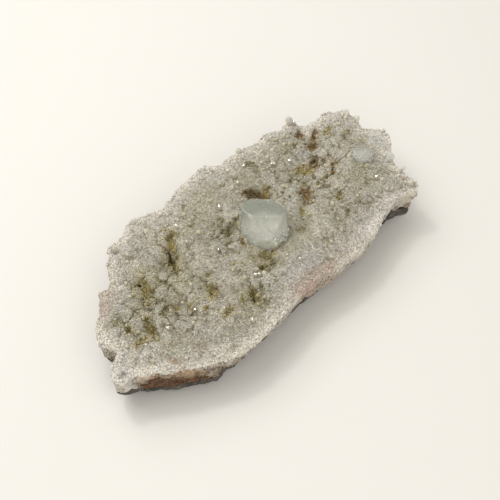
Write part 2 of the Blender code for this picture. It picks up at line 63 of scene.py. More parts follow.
def linear(hexColour):
    # sRGB hex to linear red, green, blue
    value = np.array([int(hexColour[i:i + 2], 16) for i in (1, 3, 5)]) / 255
    return np.where(value <= 0.04045, value / 12.92, ((value + 0.055) / 1.055) ** 2.4)


def smoothStep(value, start, end):
    # 0 before start, 1 after end, s²(3 − 2s) between
    share = np.clip((value - start) / (end - start), 0, 1)
    return share * share * (3 - 2 * share)


def mix(first, second, share):
    # share 0 gives first, 1 gives second; a column of shares mixes colours
    share = np.asarray(share)
    if np.ndim(first) > 0 and np.ndim(share) > 0 and np.shape(first)[-1] == 3:
        share = share[..., None]
    return first + (second - first) * share


def tinted(colour, hexColour, share):
    # a colour drawn towards another one by a share
    return mix(colour, linear(hexColour), share)


def hashed(cell, salt):
    # an even random number from 0 to 1 for each whole-numbered cell, by multiplying and folding bits
    n = cell[..., 0] * 73856093 ^ cell[..., 1] * 19349663 ^ cell[..., 2] * 83492791 ^ (salt + 7) * 2654435
    n = (n ^ (n >> 13)) * 1274126177
    n = (n ^ (n >> 16)) * 668265263
    return ((n ^ (n >> 15)) & 0xFFFFFF) / 0xFFFFFF


def noise(points, size, salt=0):
    # value noise, −1 to 1: random numbers at the corners of cells `size` mm wide, blended smoothly
    scaled = points / size
    cell = np.floor(scaled).astype(np.int64)
    share = scaled - cell
    share = share * share * (3 - 2 * share)
    total = np.zeros(points.shape[:-1])
    for corner in np.ndindex(2, 2, 2):
        weight = np.prod(np.where(corner, share, 1 - share), axis=-1)
        total += weight * hashed(cell + np.array(corner), salt)
    return total * 2 - 1


def layered(points, size, layers=3, salt=0):
    # layers of noise, each half as wide and half as strong as the one before
    total = sum(noise(points, size / 2 ** i, salt + i) / 2 ** i for i in range(layers))
    return total / (2 - 0.5 ** (layers - 1))


def withZ(x, y, z=0.0):
    return np.stack([x, y, np.zeros_like(x) + z], axis=-1)


def unit(vectors):
    # the same directions, each of length 1
    return vectors / np.linalg.norm(vectors, axis=1, keepdims=True)


def kept(keep, *arrays):
    return [array[keep] for array in arrays]


def cadVertices(mesh):
    # a CAD mesh's vertices in mm
    places = np.empty(len(mesh.vertices) * 3, np.float32)
    mesh.vertices.foreach_get("co", places)
    return places.reshape(-1, 3).astype(float) / mm


def cadPoints(node, spacing):
    # points all over a CAD node: a triangle whose longest edge is n spacings gets the lattice of
    # shares (i, j, k) / n of its three corners, with i + j + k = n
    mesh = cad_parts[node].data
    mesh.calc_loop_triangles()
    triangles = np.empty(len(mesh.loop_triangles) * 3, np.int32)
    mesh.loop_triangles.foreach_get("vertices", triangles)
    corners = cadVertices(mesh)[triangles.reshape(-1, 3)]
    longest = np.linalg.norm(corners - np.roll(corners, 1, axis=1), axis=2).max(axis=1)
    steps = np.maximum(np.ceil(longest / spacing), 1).astype(int)
    found = []
    for n in np.unique(steps):
        i, j = np.meshgrid(np.arange(n + 1), np.arange(n + 1))
        keep = i + j <= n
        share = np.stack([i[keep], j[keep], n - i[keep] - j[keep]], axis=1) / n
        found.append(np.einsum("sk,tkc->tsc", share, corners[steps == n]).reshape(-1, 3))
    return np.concatenate(found)


def cadPlanes(node):
    # the flat faces of a convex CAD node: outward normal and distance from the node's middle
    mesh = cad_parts[node].data
    places = cadVertices(mesh)
    middle = (places.min(axis=0) + places.max(axis=0)) / 2
    normals = np.empty(len(mesh.polygons) * 3, np.float32)
    mesh.polygons.foreach_get("normal", normals)
    normals = unit(np.unique(np.round(normals.reshape(-1, 3).astype(float), 2), axis=0))
    return middle, normals, ((places - middle) @ normals.T).max(axis=0)


# Plan maps: the crust's top, its underside and the basalt's top as heights on a square grid
gridStep = 0.33     # mm
gridX = np.arange(-95, 95.01, gridStep)
gridY = np.arange(-46, 46.01, gridStep)


def bell(count, sigma, wraps=False):
    # weights of a bell curve between every two cells of a row
    gap = np.abs(np.arange(count)[:, None] - np.arange(count))
    if wraps:
        gap = np.minimum(gap, count - gap)
    return np.exp(-(gap / sigma) ** 2 / 2)


def blurred(values, weights, sigmaX, sigmaY, wraps=False):
    # weighted mean under a bell curve, which also fills the cells of no weight; sigmas in cells
    acrossX, acrossY = bell(values.shape[0], sigmaX, wraps), bell(values.shape[1], sigmaY)
    return (acrossX @ (values * weights) @ acrossY) / np.maximum(acrossX @ weights @ acrossY, 1e-12)


def heightMap(points, pick, start):
    # the highest or the lowest of the points in each cell of the plan, and `start` where there is none
    column = np.clip(np.round((points[:, 0] - gridX[0]) / gridStep).astype(int), 0, len(gridX) - 1)
    row = np.clip(np.round((points[:, 1] - gridY[0]) / gridStep).astype(int), 0, len(gridY) - 1)
    heights = np.full((len(gridX), len(gridY)), start)
    pick.at(heights, (column, row), points[:, 2])
    return heights


def between(grid, x, y):
    # a grid's value at any x, y, blended between the four cells around it
    u = np.clip((x - gridX[0]) / gridStep, 0, len(gridX) - 1.001)
    v = np.clip((y - gridY[0]) / gridStep, 0, len(gridY) - 1.001)
    i, j = u.astype(int), v.astype(int)
    u, v = u - i, v - j
    near = grid[i, j] * (1 - v) + grid[i, j + 1] * v
    far = grid[i + 1, j] * (1 - v) + grid[i + 1, j + 1] * v
    return near * (1 - u) + far * u


# Places round the specimen: every point is reached from the spine, a line along X, at place t.
# t runs round the right end, along the far side, round the left end and back along the near side.
spineHalf = 52.0
endSteps, sideSteps = 170, 190
aroundSteps = 2 * (endSteps + sideSteps)


def spinePlaces():
    # for each place: the spine point it starts from, and its direction
    quarter = math.pi / 2
    turn = np.linspace(-quarter, quarter, endSteps, endpoint=False)
    along = np.linspace(spineHalf, -spineHalf, sideSteps, endpoint=False)
    x = np.concatenate([np.full(endSteps, spineHalf), along, np.full(endSteps, -spineHalf), -along])
    angle = np.concatenate([turn, np.full(sideSteps, quarter), turn + math.pi, np.full(sideSteps, -quarter)])
    return np.stack([x, np.zeros_like(x)], axis=1), np.stack([np.cos(angle), np.sin(angle)], axis=1)


spineXY, outward = spinePlaces()
everyPlace = np.arange(aroundSteps, dtype=float)
spineLine = (np.linspace(spineHalf, -spineHalf, sideSteps + 1), np.zeros(sideSteps + 1))


def ringAt(radius):
    # a ring of points at these distances from the spine
    return spineXY + outward * radius[:, None]


def placeOf(x, y):
    # place (0 to aroundSteps) and distance from the spine of any points of the plan
    away = x - np.clip(x, -spineHalf, spineHalf)
    turn = np.arctan2(y, away)
    right = endSteps * (turn / math.pi + 0.5)
    left = endSteps * ((turn % (2 * math.pi)) / math.pi - 0.5) + endSteps + sideSteps
    share = (spineHalf - x) / (2 * spineHalf)
    far = endSteps + sideSteps * share
    near = 2 * endSteps + sideSteps + sideSteps * (1 - share)
    place = np.where(away > 0, right, np.where(away < 0, left, np.where(y >= 0, far, near)))
    return place % aroundSteps, np.hypot(away, y)


def sideMap(points, lowest, step, count):
    # distance from the spine to the outside, for each place and each level of height
    place, radius = placeOf(points[:, 0], points[:, 1])
    level = np.round((points[:, 2] - lowest) / step).astype(int)
    keep = (level >= 0) & (level < count)
    widest = np.zeros((aroundSteps, count))
    np.maximum.at(widest, (np.round(place[keep]).astype(int) % aroundSteps, level[keep]), radius[keep])
    return blurred(widest, (widest > 0).astype(float), 0.8, 0.6, wraps=True)


def rowAt(table, place, level):
    # a side map's value at any place and level, blended
    level = np.clip(level, 0, table.shape[1] - 1.001)
    i, j = np.floor(place).astype(int), level.astype(int)
    u, v = place - i, level - j
    i, after = i % aroundSteps, (i + 1) % aroundSteps
    near = table[i, j] * (1 - v) + table[i, j + 1] * v
    far = table[after, j] * (1 - v) + table[after, j + 1] * v
    return near * (1 - u) + far * u


def aroundAt(values, place):
    # a value known at every place, blended for any place between them
    return rowAt(values[:, None].repeat(2, axis=1), place, np.zeros_like(place))


def meshPiece(name, vertices, faces, smooth=False, tint=None):
    # a mesh from vertices in mm and arrays of faces, one array for each number of sides
    mesh = bpy.data.meshes.new(name)
    mesh.vertices.add(len(vertices))
    mesh.vertices.foreach_set("co", (vertices * mm).astype(np.float32).ravel())
    sides = np.concatenate([np.full(len(array), array.shape[1]) for array in faces])
    starts = np.concatenate([[0], np.cumsum(sides)[:-1]])
    mesh.loops.add(int(sides.sum()))
    mesh.polygons.add(len(sides))
    corners = np.concatenate([array.ravel() for array in faces]).astype(np.int32)
    mesh.loops.foreach_set("vertex_index", corners)
    mesh.polygons.foreach_set("loop_start", starts.astype(np.int32))
    mesh.polygons.foreach_set("use_smooth", np.full(len(sides), smooth))
    if tint is not None:
        colours = np.concatenate([np.clip(tint, 0, 1), np.ones((len(tint), 1))], axis=1)
        layer = mesh.attributes.new("tint", "FLOAT_COLOR", "POINT")
        layer.data.foreach_set("color", colours.astype(np.float32).ravel())
    mesh.update(calc_edges=True)
    mesh.validate()
    piece = bpy.data.objects.new(name, mesh)
    bpy.context.scene.collection.objects.link(piece)
    return piece


def ringFaces(rows, columns):
    # quads between closed rings of vertices, row after row outwards and down
    row, column = np.meshgrid(np.arange(rows - 1), np.arange(columns), indexing="ij")
    here, there = row * columns + column, row * columns + (column + 1) % columns
    return np.stack([here, here + columns, there + columns, there], axis=-1).reshape(-1, 4)


def spineFan(first, offset, flip):
    # triangles and quads between the spine's own vertices and the ring that starts at `first`
    ring = np.arange(aroundSteps)
    after = (ring + 1) % aroundSteps
    own = np.concatenate([np.zeros(endSteps), np.arange(sideSteps), np.full(endSteps, sideSteps),
                          sideSteps - np.arange(sideSteps)]).astype(int)
    here, there = own + offset, own[after] + offset
    faces = np.stack([here, first + ring, first + after, there], axis=1)
    if flip:
        faces = faces[:, ::-1]
    pointed = here == there
    triangles = faces[pointed][:, 1:] if flip else faces[pointed][:, :3]
    return faces[~pointed], triangles


def shares(count):
    # 1/n, 2/n and so on up to 1
    return (np.arange(count) + 1) / count


def stacked(rings):
    # all vertices of rings given as x and y, height, and how far down the side they are, and the last
    # of these for each vertex
    vertices = np.concatenate([np.column_stack([xy, z]) for xy, z, _ in rings])
    return vertices, np.concatenate([np.full(aroundSteps, down) for _, _, down in rings])


def closed(vertices, upper, lower):
    # stacked rings closed by the spine's own vertices above and below: all vertices and all faces
    rows, offset = len(vertices) // aroundSteps, len(vertices)
    startQuads, startPoints = spineFan(0, offset, False)
    endQuads, endPoints = spineFan(offset - aroundSteps, offset + sideSteps + 1, True)
    faces = [ringFaces(rows, aroundSteps), startQuads, endQuads, np.concatenate([startPoints, endPoints])]
    return np.concatenate([vertices, withZ(*spineLine, upper), withZ(*spineLine, lower)]), faces


def addNode(tree, kind, links=(), inputs=(), **settings):
    # a node with its settings, its inputs' values and links to it: (input, node, output)
    node = tree.nodes.new(kind)
    for key, value in settings.items():
        setattr(node, key, value)
    for key, value in dict(inputs).items():
        node.inputs[key].default_value = value
    for key, source, output in links:
        tree.links.new(source.outputs[output], node.inputs[key])
    return node


print("camera")


def makeCamera():
    azimuth, elevation = math.radians(cameraView["azimuth"]), math.radians(cameraView["elevation"])
    back = Vector((math.sin(azimuth) * math.cos(elevation), -math.cos(azimuth) * math.cos(elevation),
                   math.sin(elevation)))
    data = bpy.data.cameras.new("camera")
    data.lens = cameraView["lens"]
    data.sensor_width = 36
    data.clip_start = 0.01
    camera = bpy.data.objects.new("camera", data)
    bpy.context.scene.collection.objects.link(camera)
    place = (Vector(cameraView["target"]) + back * cameraView["distance"]) * mm
    camera.matrix_world = Matrix.Translation(place) @ back.to_track_quat("Z", "Y").to_matrix().to_4x4()
    bpy.context.scene.camera = camera


makeCamera()

print("reading the solids")
crustPoints = cadPoints("crystal_crust", gridStep)
basaltPoints = cadPoints("matrix", 0.4)
crustLow, crustHigh = (corner.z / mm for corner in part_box("crystal_crust"))

beyond = 99.0     # mm: further than anything here
topRaw = heightMap(crustPoints, np.maximum, 0.0)
covered = (topRaw > 0).astype(float)
undersideMap = blurred(heightMap(crustPoints, np.minimum, beyond), covered, 2, 2)
basaltRaw = heightMap(basaltPoints, np.maximum, 0.0)
basaltTopMap = blurred(basaltRaw, (basaltRaw > 0).astype(float), 2, 2)

levelStep = 0.8     # mm
crustSide = sideMap(crustPoints, crustLow, levelStep, int((crustHigh - crustLow) / levelStep) + 1)
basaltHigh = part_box("matrix")[1].z / mm
basaltSide = sideMap(basaltPoints, 0.0, levelStep, int(basaltHigh / levelStep) + 1)

# The rim: how far out it is at each place, and how high; the seam: how low the crust's side goes
rimHeights = (19, 27)     # mm: the crust reaches furthest out between these heights
lowLevel, highLevel = (int((height - crustLow) / levelStep) for height in rimHeights)
rimRadius = crustSide[:, lowLevel:highLevel].max(axis=1)


def heightsAround(reach, pick, start):
    # at each place, the highest or the lowest point of the crust that is further out than `reach`
    place, radius = placeOf(*crustPoints[:, :2].T)
    index = np.round(place).astype(int) % aroundSteps
    outside = radius > reach[index]
    heights = np.full(aroundSteps, start)
    pick.at(heights, index[outside], crustPoints[outside, 2])
    weights = bell(aroundSteps, 1.6, wraps=True)
    return weights / weights.sum(axis=1, keepdims=True) @ heights


rimHeight = heightsAround(rimRadius - 2.0, np.maximum, 0.0)
seamHeight = heightsAround(rimRadius * 0.85, np.minimum, beyond)

# The druse: pits between its crystals. x, y, half length and half width in mm, direction in degrees,
# depth in mm, and stain. Most places and sizes come from a search of the photograph for dark and
# yellowish patches; the deepest spots, the depths and the stains were judged.
# A pit marked "dark" is painted shade at the deepest spot of a hole, not a stain.
pits = [
    (-31.0, 18.8, 5.6, 2.5, 55, 3.4, "olive"), (-36.3, 10.0, 5.6, 2.3, 68, 3.0, "olive"),
    (-34.1, 15.6, 1.7, 1.1, 60, 5.0, "dark"), (52.0, 8.0, 3.8, 2.2, 7, 3.6, "brown"),
    (52.2, 8.4, 1.5, 1.0, 7, 5.0, "dark"), (45.0, 8.4, 3.8, 2.3, 150, 2.6, "olive"),
    (19.6, 11.9, 7.4, 2.3, 136, 3.4, "brown"), (24.0, 11.4, 2.4, 1.6, 90, 2.4, "olive"),
    (-1.5, -13.8, 5.2, 2.7, 167, 2.8, "olive"), (-7.6, -17.4, 2.3, 1.5, 157, 2.6, "olive"),
    (-8.2, -17.6, 1.2, 1.0, 0, 4.8, "dark"), (-54.5, 8.5, 6.4, 2.8, 65, 2.4, "olive"),
    (-55.0, 11.6, 1.5, 1.3, 0, 4.5, "dark"), (-64.7, -6.4, 5.2, 1.7, 76, 3.0, "olive"),
    (58.9, 15.5, 3.4, 2.3, 150, 3.2, "brown"), (63.4, 19.5, 3.4, 1.3, 42, 2.4, "brown"),
    (-20.6, -27.1, 4.0, 2.0, 60, 3.0, "olive"), (-21.2, -26.8, 1.3, 1.0, 60, 5.0, "dark"),
    (35.2, -2.8, 4.4, 2.1, 37, 3.2, "brown"), (-3.7, 6.6, 5.5, 1.9, 17, 2.0, "pale"),
    (-33.2, -12.4, 3.4, 2.1, 40, 2.4, "olive"), (20.4, -14.3, 4.0, 1.6, 173, 2.2, "pale"),
    (58.1, 24.9, 3.5, 1.9, 41, 3.4, "red"), (-54.7, -5.4, 3.9, 1.4, 35, 2.0, "pale"),
    (-72.9, -10.1, 3.4, 1.6, 12, 3.0, "olive"), (-34.7, -24.8, 2.6, 1.7, 1, 2.6, "olive"),
    (70.8, 16.6, 3.4, 1.6, 16, 2.2, "olive"), (45.8, -15.1, 2.8, 1.5, 28, 2.8, "olive"),
    (-5.3, -3.0, 2.1, 1.4, 85, 3.0, "olive"), (-15.6, -26.1, 3.9, 1.0, 65, 1.8, "pale"),
    (27.2, 27.2, 2.7, 1.8, 118, 1.8, "pale"), (54.4, -2.3, 4.2, 1.2, 42, 2.6, "brown"),
    (-74.8, 3.2, 2.0, 1.4, 64, 1.6, "pale"), (76.6, 8.9, 2.1, 1.3, 4, 2.2, "olive"),
    (-5.1, 12.2, 2.0, 1.2, 118, 1.6, "pale"), (42.1, -24.0, 2.4, 1.0, 45, 1.8, "pale"),
    (-73.0, -2.3, 1.9, 1.4, 29, 3.4, "olive"), (49.7, -2.3, 2.1, 0.9, 178, 2.6, "olive"),
    (27.0, -9.2, 2.3, 0.9, 60, 2.0, "olive"), (44.4, -2.0, 1.5, 1.0, 56, 2.2, "olive"),
    (55.6, 5.2, 1.7, 1.1, 36, 2.2, "brown"), (-29.2, -5.4, 1.3, 1.1, 18, 2.0, "olive"),
    (-45.1, -11.1, 1.8, 0.8, 16, 1.8, "olive"), (-49.6, -7.3, 1.8, 0.8, 110, 1.8, "olive"),
    (-40.5, -16.9, 1.2, 1.0, 9, 2.6, "olive"), (-26.0, -24.7, 2.0, 0.8, 49, 1.8, "olive"),
    (-16.4, -8.9, 1.2, 1.0, 163, 1.8, "olive"), (-51.8, -21.1, 1.8, 0.7, 19, 1.6, "pale"),
]
# stains of the pits; "dark" is no stain but painted shade at the deepest spots of the holes
pitStainsAndShade = {"olive": "#d8c583", "brown": "#ae8d58", "dark": "#43341a", "red": "#9a7650", "pale": "#bfb48a"}

# Colours of the druse, and where they lie: x, y, half length, half width, direction, colour, strength
druse = {
    "interior": "#d7cfba",
    "greener": "#c3bda0",
    "cooler": "#d0ccbb",
    "rim": "#e8e0d0",
    "hollow": "#a29877",
    "hollowShadeShare": 0.4,            # of that colour, painted shade in the deepest hollows
    "stripHigh": "#bfa283",
    "stripLow": "#6b4426",
    "side": "#cbc1b0",
    "sideLow": "#8d7863",
    "rimWidth": (3.0, 15.0),       # mm: white as far in as this, no whiter than the rest beyond that
    "pitEdge": (0.9, 1.08),        # shares of a pit's size between which its stain fades, and for the dark ones its painted shade
    "creviceShade": "#7c6d43",          # painted shade in the cracks and holes between the mounds
    "speck": "#57482a",
    "edgeFleckShade": "#978d6b",
    "litBeneath": "#e6e4d8",          # painted light: the bed under the blocky crystals, seen through them, made pale
    "standing": "#dcdace",         # crystals that stand out
    "climbing": "#dedfd4",         # crystals grown up the blocky ones
}
patches = [
    (7, -37, 17, 5, 0.0, "#c9b09e", 0.6), (2, -38.5, 6, 2.2, 0.0, "#ac8070", 0.4),
    (15, -38, 5, 2, 0.1, "#bb8a78", 0.3), (-70, 18, 8, 5.5, 0.6, "#c9b8a6", 0.75),
    (-74, 13, 4, 3, 0.6, "#b8937f", 0.4), (-76, 5, 6, 3.5, 0.3, "#a9a684", 0.5),
    (78, -28.5, 3, 2.5, 0.5, "#b8936a", 0.4), (58.8, -32.0, 3, 2.5, 0.5, "#9a7c5c", 0.5),
    (48.3, 14.2, 5, 3.5, 0.3, "#c9c6b6", 0.4), (59.8, 10.5, 7, 4, 0.3, "#cbc8b8", 0.4),
    (22, -37.5, 24, 3.5, 0.06, "#cfc1b0", 0.5), (-76, 12, 9, 8, 0.5, "#cbbfae", 0.6),
    (84, -4, 7, 6, 0.5, "#f6f2e6", 0.75), (80.5, -14, 5, 4, 0.5, "#eeece2", 0.5),
    (7.2, -28, 15, 6, 0.0, "#e0dbd0", 0.65), (-88, -16, 5, 6, 0.0, "#f4eee4", 0.7),
    (54, -34, 22, 5.5, 0.12, "#f3ece0", 0.6), (-62, 24, 12, 7, 0.5, "#d6cdbb", 0.4),
]


def ellipseShare(x, y, px, py, halfLength, halfWidth, turn):
    # distance from the middle of an ellipse as a share of its size in that direction
    dx, dy = x - px, y - py
    along = dx * math.cos(turn) + dy * math.sin(turn)
    across = dy * math.cos(turn) - dx * math.sin(turn)
    return np.hypot(along / halfLength, across / halfWidth)


# The crystals grew in mounds a few mm wide with cracks between them, open in some parts and closed
# in others.
mounds = {
    "spacing": 6.6,             # mm
    "warp": 1.7,                # mm: how far the cracks wander off straight lines
    "rise": 0.55,               # mm: a mound's middle over its edge
    "crack": (0.1, 0.95),       # mm: from a crack's floor to its lip, in difference of distances
    "crackDepth": 0.85,         # mm
    "cracked": [(-52, -4, 26, 15, 0.2), (46, 6, 25, 15, -0.1), (-12, -24, 16, 7, 0.3),
                (-8, 4, 10, 8, 0.0)],
    "calm": [(76, -5, 11, 9, 0.4), (20, -17, 15, 9, 0.0), (2, 16, 13, 9, 0.4), (-42, -31, 16, 6, 0.2),
             (84, -4, 8, 12, 0.2)],
    "hole": (1.1, 0.55, 0.8),   # mm, and levels of noise: gaps between the crystals at a mound's edge
}


def moundsAt(x, y):
    # height of the mound and openness of the crack at each point: with the distances f1 and f2 to the
    # nearest two of the scattered middles, 1 − (f1 / 0.75 s)² and 1 where f2 − f1 is near 0
    flat = withZ(x, y)
    spacing, warp = mounds["spacing"], mounds["warp"]
    u = x + warp * layered(flat, 3.0, 2, 170)
    v = y + warp * layered(flat, 3.0, 2, 174)
    cell = np.floor(withZ(u, v) / spacing).astype(np.int64)
    first, second = np.full(u.shape, beyond), np.full(u.shape, beyond)
    for i, j in np.ndindex(3, 3):
        there = cell + np.array([i - 1, j - 1, 0])
        du = (there[..., 0] + 0.15 + 0.7 * hashed(there, 180)) * spacing - u
        dv = (there[..., 1] + 0.15 + 0.7 * hashed(there, 181)) * spacing - v
        distance = np.hypot(du, dv)
        second = np.minimum(second, np.maximum(first, distance))
        first = np.minimum(first, distance)
    share = np.min([ellipseShare(x, y, *area) for area in mounds["cracked"]], axis=0)
    opened = 0.12 + 0.78 * (1 - smoothStep(share + 0.4 * layered(flat, 9, 2, 184), 0.7, 1.2))
    crack = (1 - smoothStep(second - first, *mounds["crack"])) * opened
    return 1 - (first / (0.75 * spacing)) ** 2, crack


def calmAt(x, y):
    # 1 where the druse is smooth, 0 where it is grainy
    share = np.min([ellipseShare(x, y, *area) for area in mounds["calm"]], axis=0)
    wave = smoothStep(layered(withZ(x, y), 16, 2, 194), -0.1, 0.4)
    return np.maximum(0.7 * wave, 1 - smoothStep(share, 0.6, 1.3))


def moundEdge(x, y):
    # 0 on the middle of a mound, 1 at its edge, less where the druse is smooth
    return smoothStep(between(riseMap, x, y), 0.9, 0.45) * (1 - 0.8 * calmAt(x, y))


def holesAt(x, y):
    # 1 in the small holes between the crystals, which are mostly at the mounds' edges
    size, start, end = mounds["hole"]
    return smoothStep(noise(withZ(x, y), size, 192) + 0.45 * moundEdge(x, y), start, end)


def edgeGap(x, y):
    # distance in from the rim, measured towards the spine
    place, radius = placeOf(x, y)
    return aroundAt(rimRadius, place) - radius


def pitsAt(x, y):
    # how deep the pits cut in at each point, the weight of each pit's stain there (painted shade for the
    # dark ones), and the painted shadow on the wall of their far side, which faces away from the light;
    # their edges are ragged because noise of 1.2 mm and 3.2 mm is added to the ellipses
    flat = withZ(x, y)
    ragged = 0.45 * noise(flat, 1.2, 40) + 0.5 * noise(flat, 3.2, 41)
    depth, pitWallShadow = np.zeros_like(x), np.zeros_like(x)
    weights = []
    for px, py, halfLength, halfWidth, turn, deep, stainAndShade in pits:
        share = ellipseShare(x, y, px, py, halfLength, halfWidth, math.radians(turn)) + ragged
        depth = np.maximum(depth, deep * (1 - smoothStep(share, 0.55, 1.0)))
        halo = 0.22 * (1 - smoothStep(share, 0.9, 2.2))
        weights.append((stainAndShade, np.maximum(1 - smoothStep(share, *druse["pitEdge"]), halo)))
        farSideShadow = smoothStep(y - py, -0.3 * halfWidth, halfWidth) * (1 - smoothStep(share, 0.7, 1.0))
        pitWallShadow = np.maximum(pitWallShadow, min(deep / 3, 1) * farSideShadow)
    return depth, weights, pitWallShadow


def pitDarkness(x, y):
    return np.max([weight for _, weight in pitsAt(x, y)[1]], axis=0)


blocks = {name: cadPlanes(name) for name in ("large_crystal", "second_crystal")}
planDepth = 6     # mm: their plans at the top are taken this far down
grownOver = {"large_crystal": 0.3, "second_crystal": 0.8}     # mm: small crystals grow this far in


def blockGap(name, x, y, z):
    # distance outwards from a blocky crystal's upright faces; below 0 the point is within its plan
    middle, normals, reach = blocks[name]
    upright = np.abs(normals[:, 2]) < 0.35
    gap = (withZ(x, y, z) - middle) @ normals[upright].T - reach[upright]
    return gap.max(axis=-1)


def topGap(name, x, y):
    # the same a little below its top
    return blockGap(name, x, y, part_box(name)[1].z / mm - planDepth)


def paint(points, gap, low=0.0):
    # the druse's colour: grey green inside, whiter to the rim, stained in and round the pits, with painted
    # shade that makes it paler on humps than in hollows; `low` is 0 on top and grows to 1 down the broken
    # side
    x, y = points[:, 0], points[:, 1]
    flat = withZ(x, y)
    inner = smoothStep(gap, 4, 9)
    greener = 0.75 * smoothStep(layered(flat, 12, 2, 50), -0.2, 0.5)
    colour = tinted(linear(druse["interior"]), druse["greener"], greener)
    colour = tinted(colour, druse["cooler"], 0.5 * smoothStep(layered(flat, 11, 2, 54), 0.05, 0.5))
    # painted shade: darker and more olive in the hollows of the relief, paler on its humps
    hollow = np.clip(-between(reliefMap, x, y), -1, 1)
    colour = tinted(colour, druse["hollow"], druse["hollowShadeShare"] * smoothStep(hollow, -0.1, 0.9))
    colour = colour * (1 - 0.10 * hollow)[:, None]
    white = 1 - smoothStep(gap + 4.5 * layered(flat, 8, 3, 58), *druse["rimWidth"])
    colour = tinted(colour, druse["rim"], white)
    _, weights, pitWallShadow = pitsAt(x, y)
    crack = between(crackMap, x, y) * inner
    # painted shade in the cracks between the mounds and in the holes between the crystals
    colour = tinted(colour, druse["creviceShade"], 0.9 * crack)
    colour = tinted(colour, druse["creviceShade"], 0.5 * holesAt(x, y) * smoothStep(gap, 2, 6))
    # the pits' stains, and painted shade at the deepest spots where a pit is "dark"
    for stainAndShade, weight in weights:
        colour = tinted(colour, pitStainsAndShade[stainAndShade], 0.9 * weight)
    # painted shadow on the far walls of the pits, which face away from the light
    colour = colour * (1 - 0.45 * pitWallShadow)[:, None]
    # dark and pale specks in and near the pits and cracks, and flecks of painted shade at the mounds' edges
    close = np.maximum(crack, np.max([weight for _, weight in weights], axis=0))
    close = np.maximum(close, 0.45 * smoothStep(hollow, 0.1, 0.8) * inner)
    speck = smoothStep(noise(flat, 0.7, 64), 0.2, 0.55) * smoothStep(close, 0.12, 0.5)
    colour = tinted(colour, druse["speck"], 0.7 * speck)
    bright = smoothStep(noise(flat, 0.9, 65), 0.35, 0.6) * smoothStep(close, 0.3, 0.8)
    colour = tinted(colour, druse["greener"], 0.5 * bright)
    edgeFleckShade = smoothStep(noise(flat, 0.7, 76), 0.2, 0.5) * moundEdge(x, y) * smoothStep(gap, 1, 5)
    colour = tinted(colour, druse["edgeFleckShade"], 0.7 * edgeFleckShade)
    broken = smoothStep(low + 0.3 * noise(points, 3, 66), 0.55, 1.0)
    side = tinted(linear(druse["side"]), druse["sideLow"], broken)
    colour = mix(colour, side, smoothStep(low, 0.02, 0.25))
    # the near left side is tan above and brown below
    down = low + 0.22 * noise(points, 4, 67)
    along = -x + 5 * layered(points, 6, 3, 68)
    strip = smoothStep(along, 48, 64) * (1 - smoothStep(along, 78, 88)) * smoothStep(-y, 8, 15)
    strip = strip * smoothStep(down, 0.0, 0.2)
    tan = tinted(linear(druse["stripHigh"]), druse["stripLow"], smoothStep(down, 0.25, 0.7))
    colour = mix(colour, tan, 0.9 * strip)
    for *patch, hexColour, strength in patches:
        share = ellipseShare(x, y, *patch) + 0.3 * noise(points, 2.5, 62)
        colour = tinted(colour, hexColour, strength * (1 - smoothStep(share, 0.5, 1.15)))
    speckle = 1 + 0.05 * noise(flat, 8, 72) + 0.04 * noise(flat, 4.5, 73) + 0.04 * noise(points, 2.4, 70)
    speckle += 0.06 * noise(points, 0.8, 71)
    return np.clip(colour * speckle[:, None], 0, 1)


print("druse bed")


bedForm = {
    "rows": {"top": 64, "side": 13, "under": 9},
    "smoothing": (2.2, 7.0),     # mm: of the solid's top, and of its surroundings
    "clearance": 0.6,            # mm: round the blocky crystals, whose own heights are left out
    "depth": 0.6,                # mm: it lies this far below the smoothed top
    "deepest": 1.2,              # mm: no deeper than this below its surroundings outside the pits
    "pitShare": 0.45,            # how much of a pit's depth is cut into it
    "grain": (0.2, 2.6),         # mm: height and size of its unevenness
    "rimDrop": 0.8,              # mm: it lies this far below the rim
    "stainDrop": 0.45,           # mm: and lower where a pit stains it
}


def bedMap():
    # the bed under the crystals: the solid's top smoothed and lowered, no deeper below its surroundings
    # than the pits go, and hollowed out beneath the two blocky crystals
    x, y = np.meshgrid(gridX, gridY, indexing="ij")
    floors = {name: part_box(name)[0].z / mm + 1.0 for name in blocks}     # mm: of the sockets
    clear = [blockGap(name, x, y, floors[name] + 4) > bedForm["clearance"] for name in blocks]
    height, broad = (blurred(topRaw, covered * np.all(clear, axis=0), size / gridStep, size / gridStep)
                     for size in bedForm["smoothing"])
    depth = pitsAt(x, y)[0]
    height = np.maximum(height, broad - bedForm["deepest"] - depth)
    height = height - bedForm["pitShare"] * depth - bedForm["depth"]
    rise, size = bedForm["grain"]
    height += rise * layered(withZ(x, y), size, 3, 80)
    height += mounds["rise"] * (riseMap - 0.5) - mounds["crackDepth"] * crackMap
    for name, floor in floors.items():
        within = smoothStep(blockGap(name, x, y, floor + 6), -2.5, -0.8)
        height = mix(np.minimum(height, floor), height, within)
    return height


riseMap, crackMap = moundsAt(*np.meshgrid(gridX, gridY, indexing="ij"))
topMap = bedMap()
reliefMap = (blurred(topMap, covered, 2, 2) - blurred(topMap, covered, 12, 12)) / 1.3
slopeX, slopeY = np.gradient(blurred(topMap, np.ones_like(topMap), 1.5, 1.5), gridStep)


def crustShape(place, down):
    # the crust's side: down runs from 0 at the rim to 1 at the seam
    top = aroundAt(rimHeight, place) - bedForm["rimDrop"]
    z = top + (aroundAt(seamHeight, place) - top) * down
    return rowAt(crustSide, place, (z - crustLow) / levelStep), z


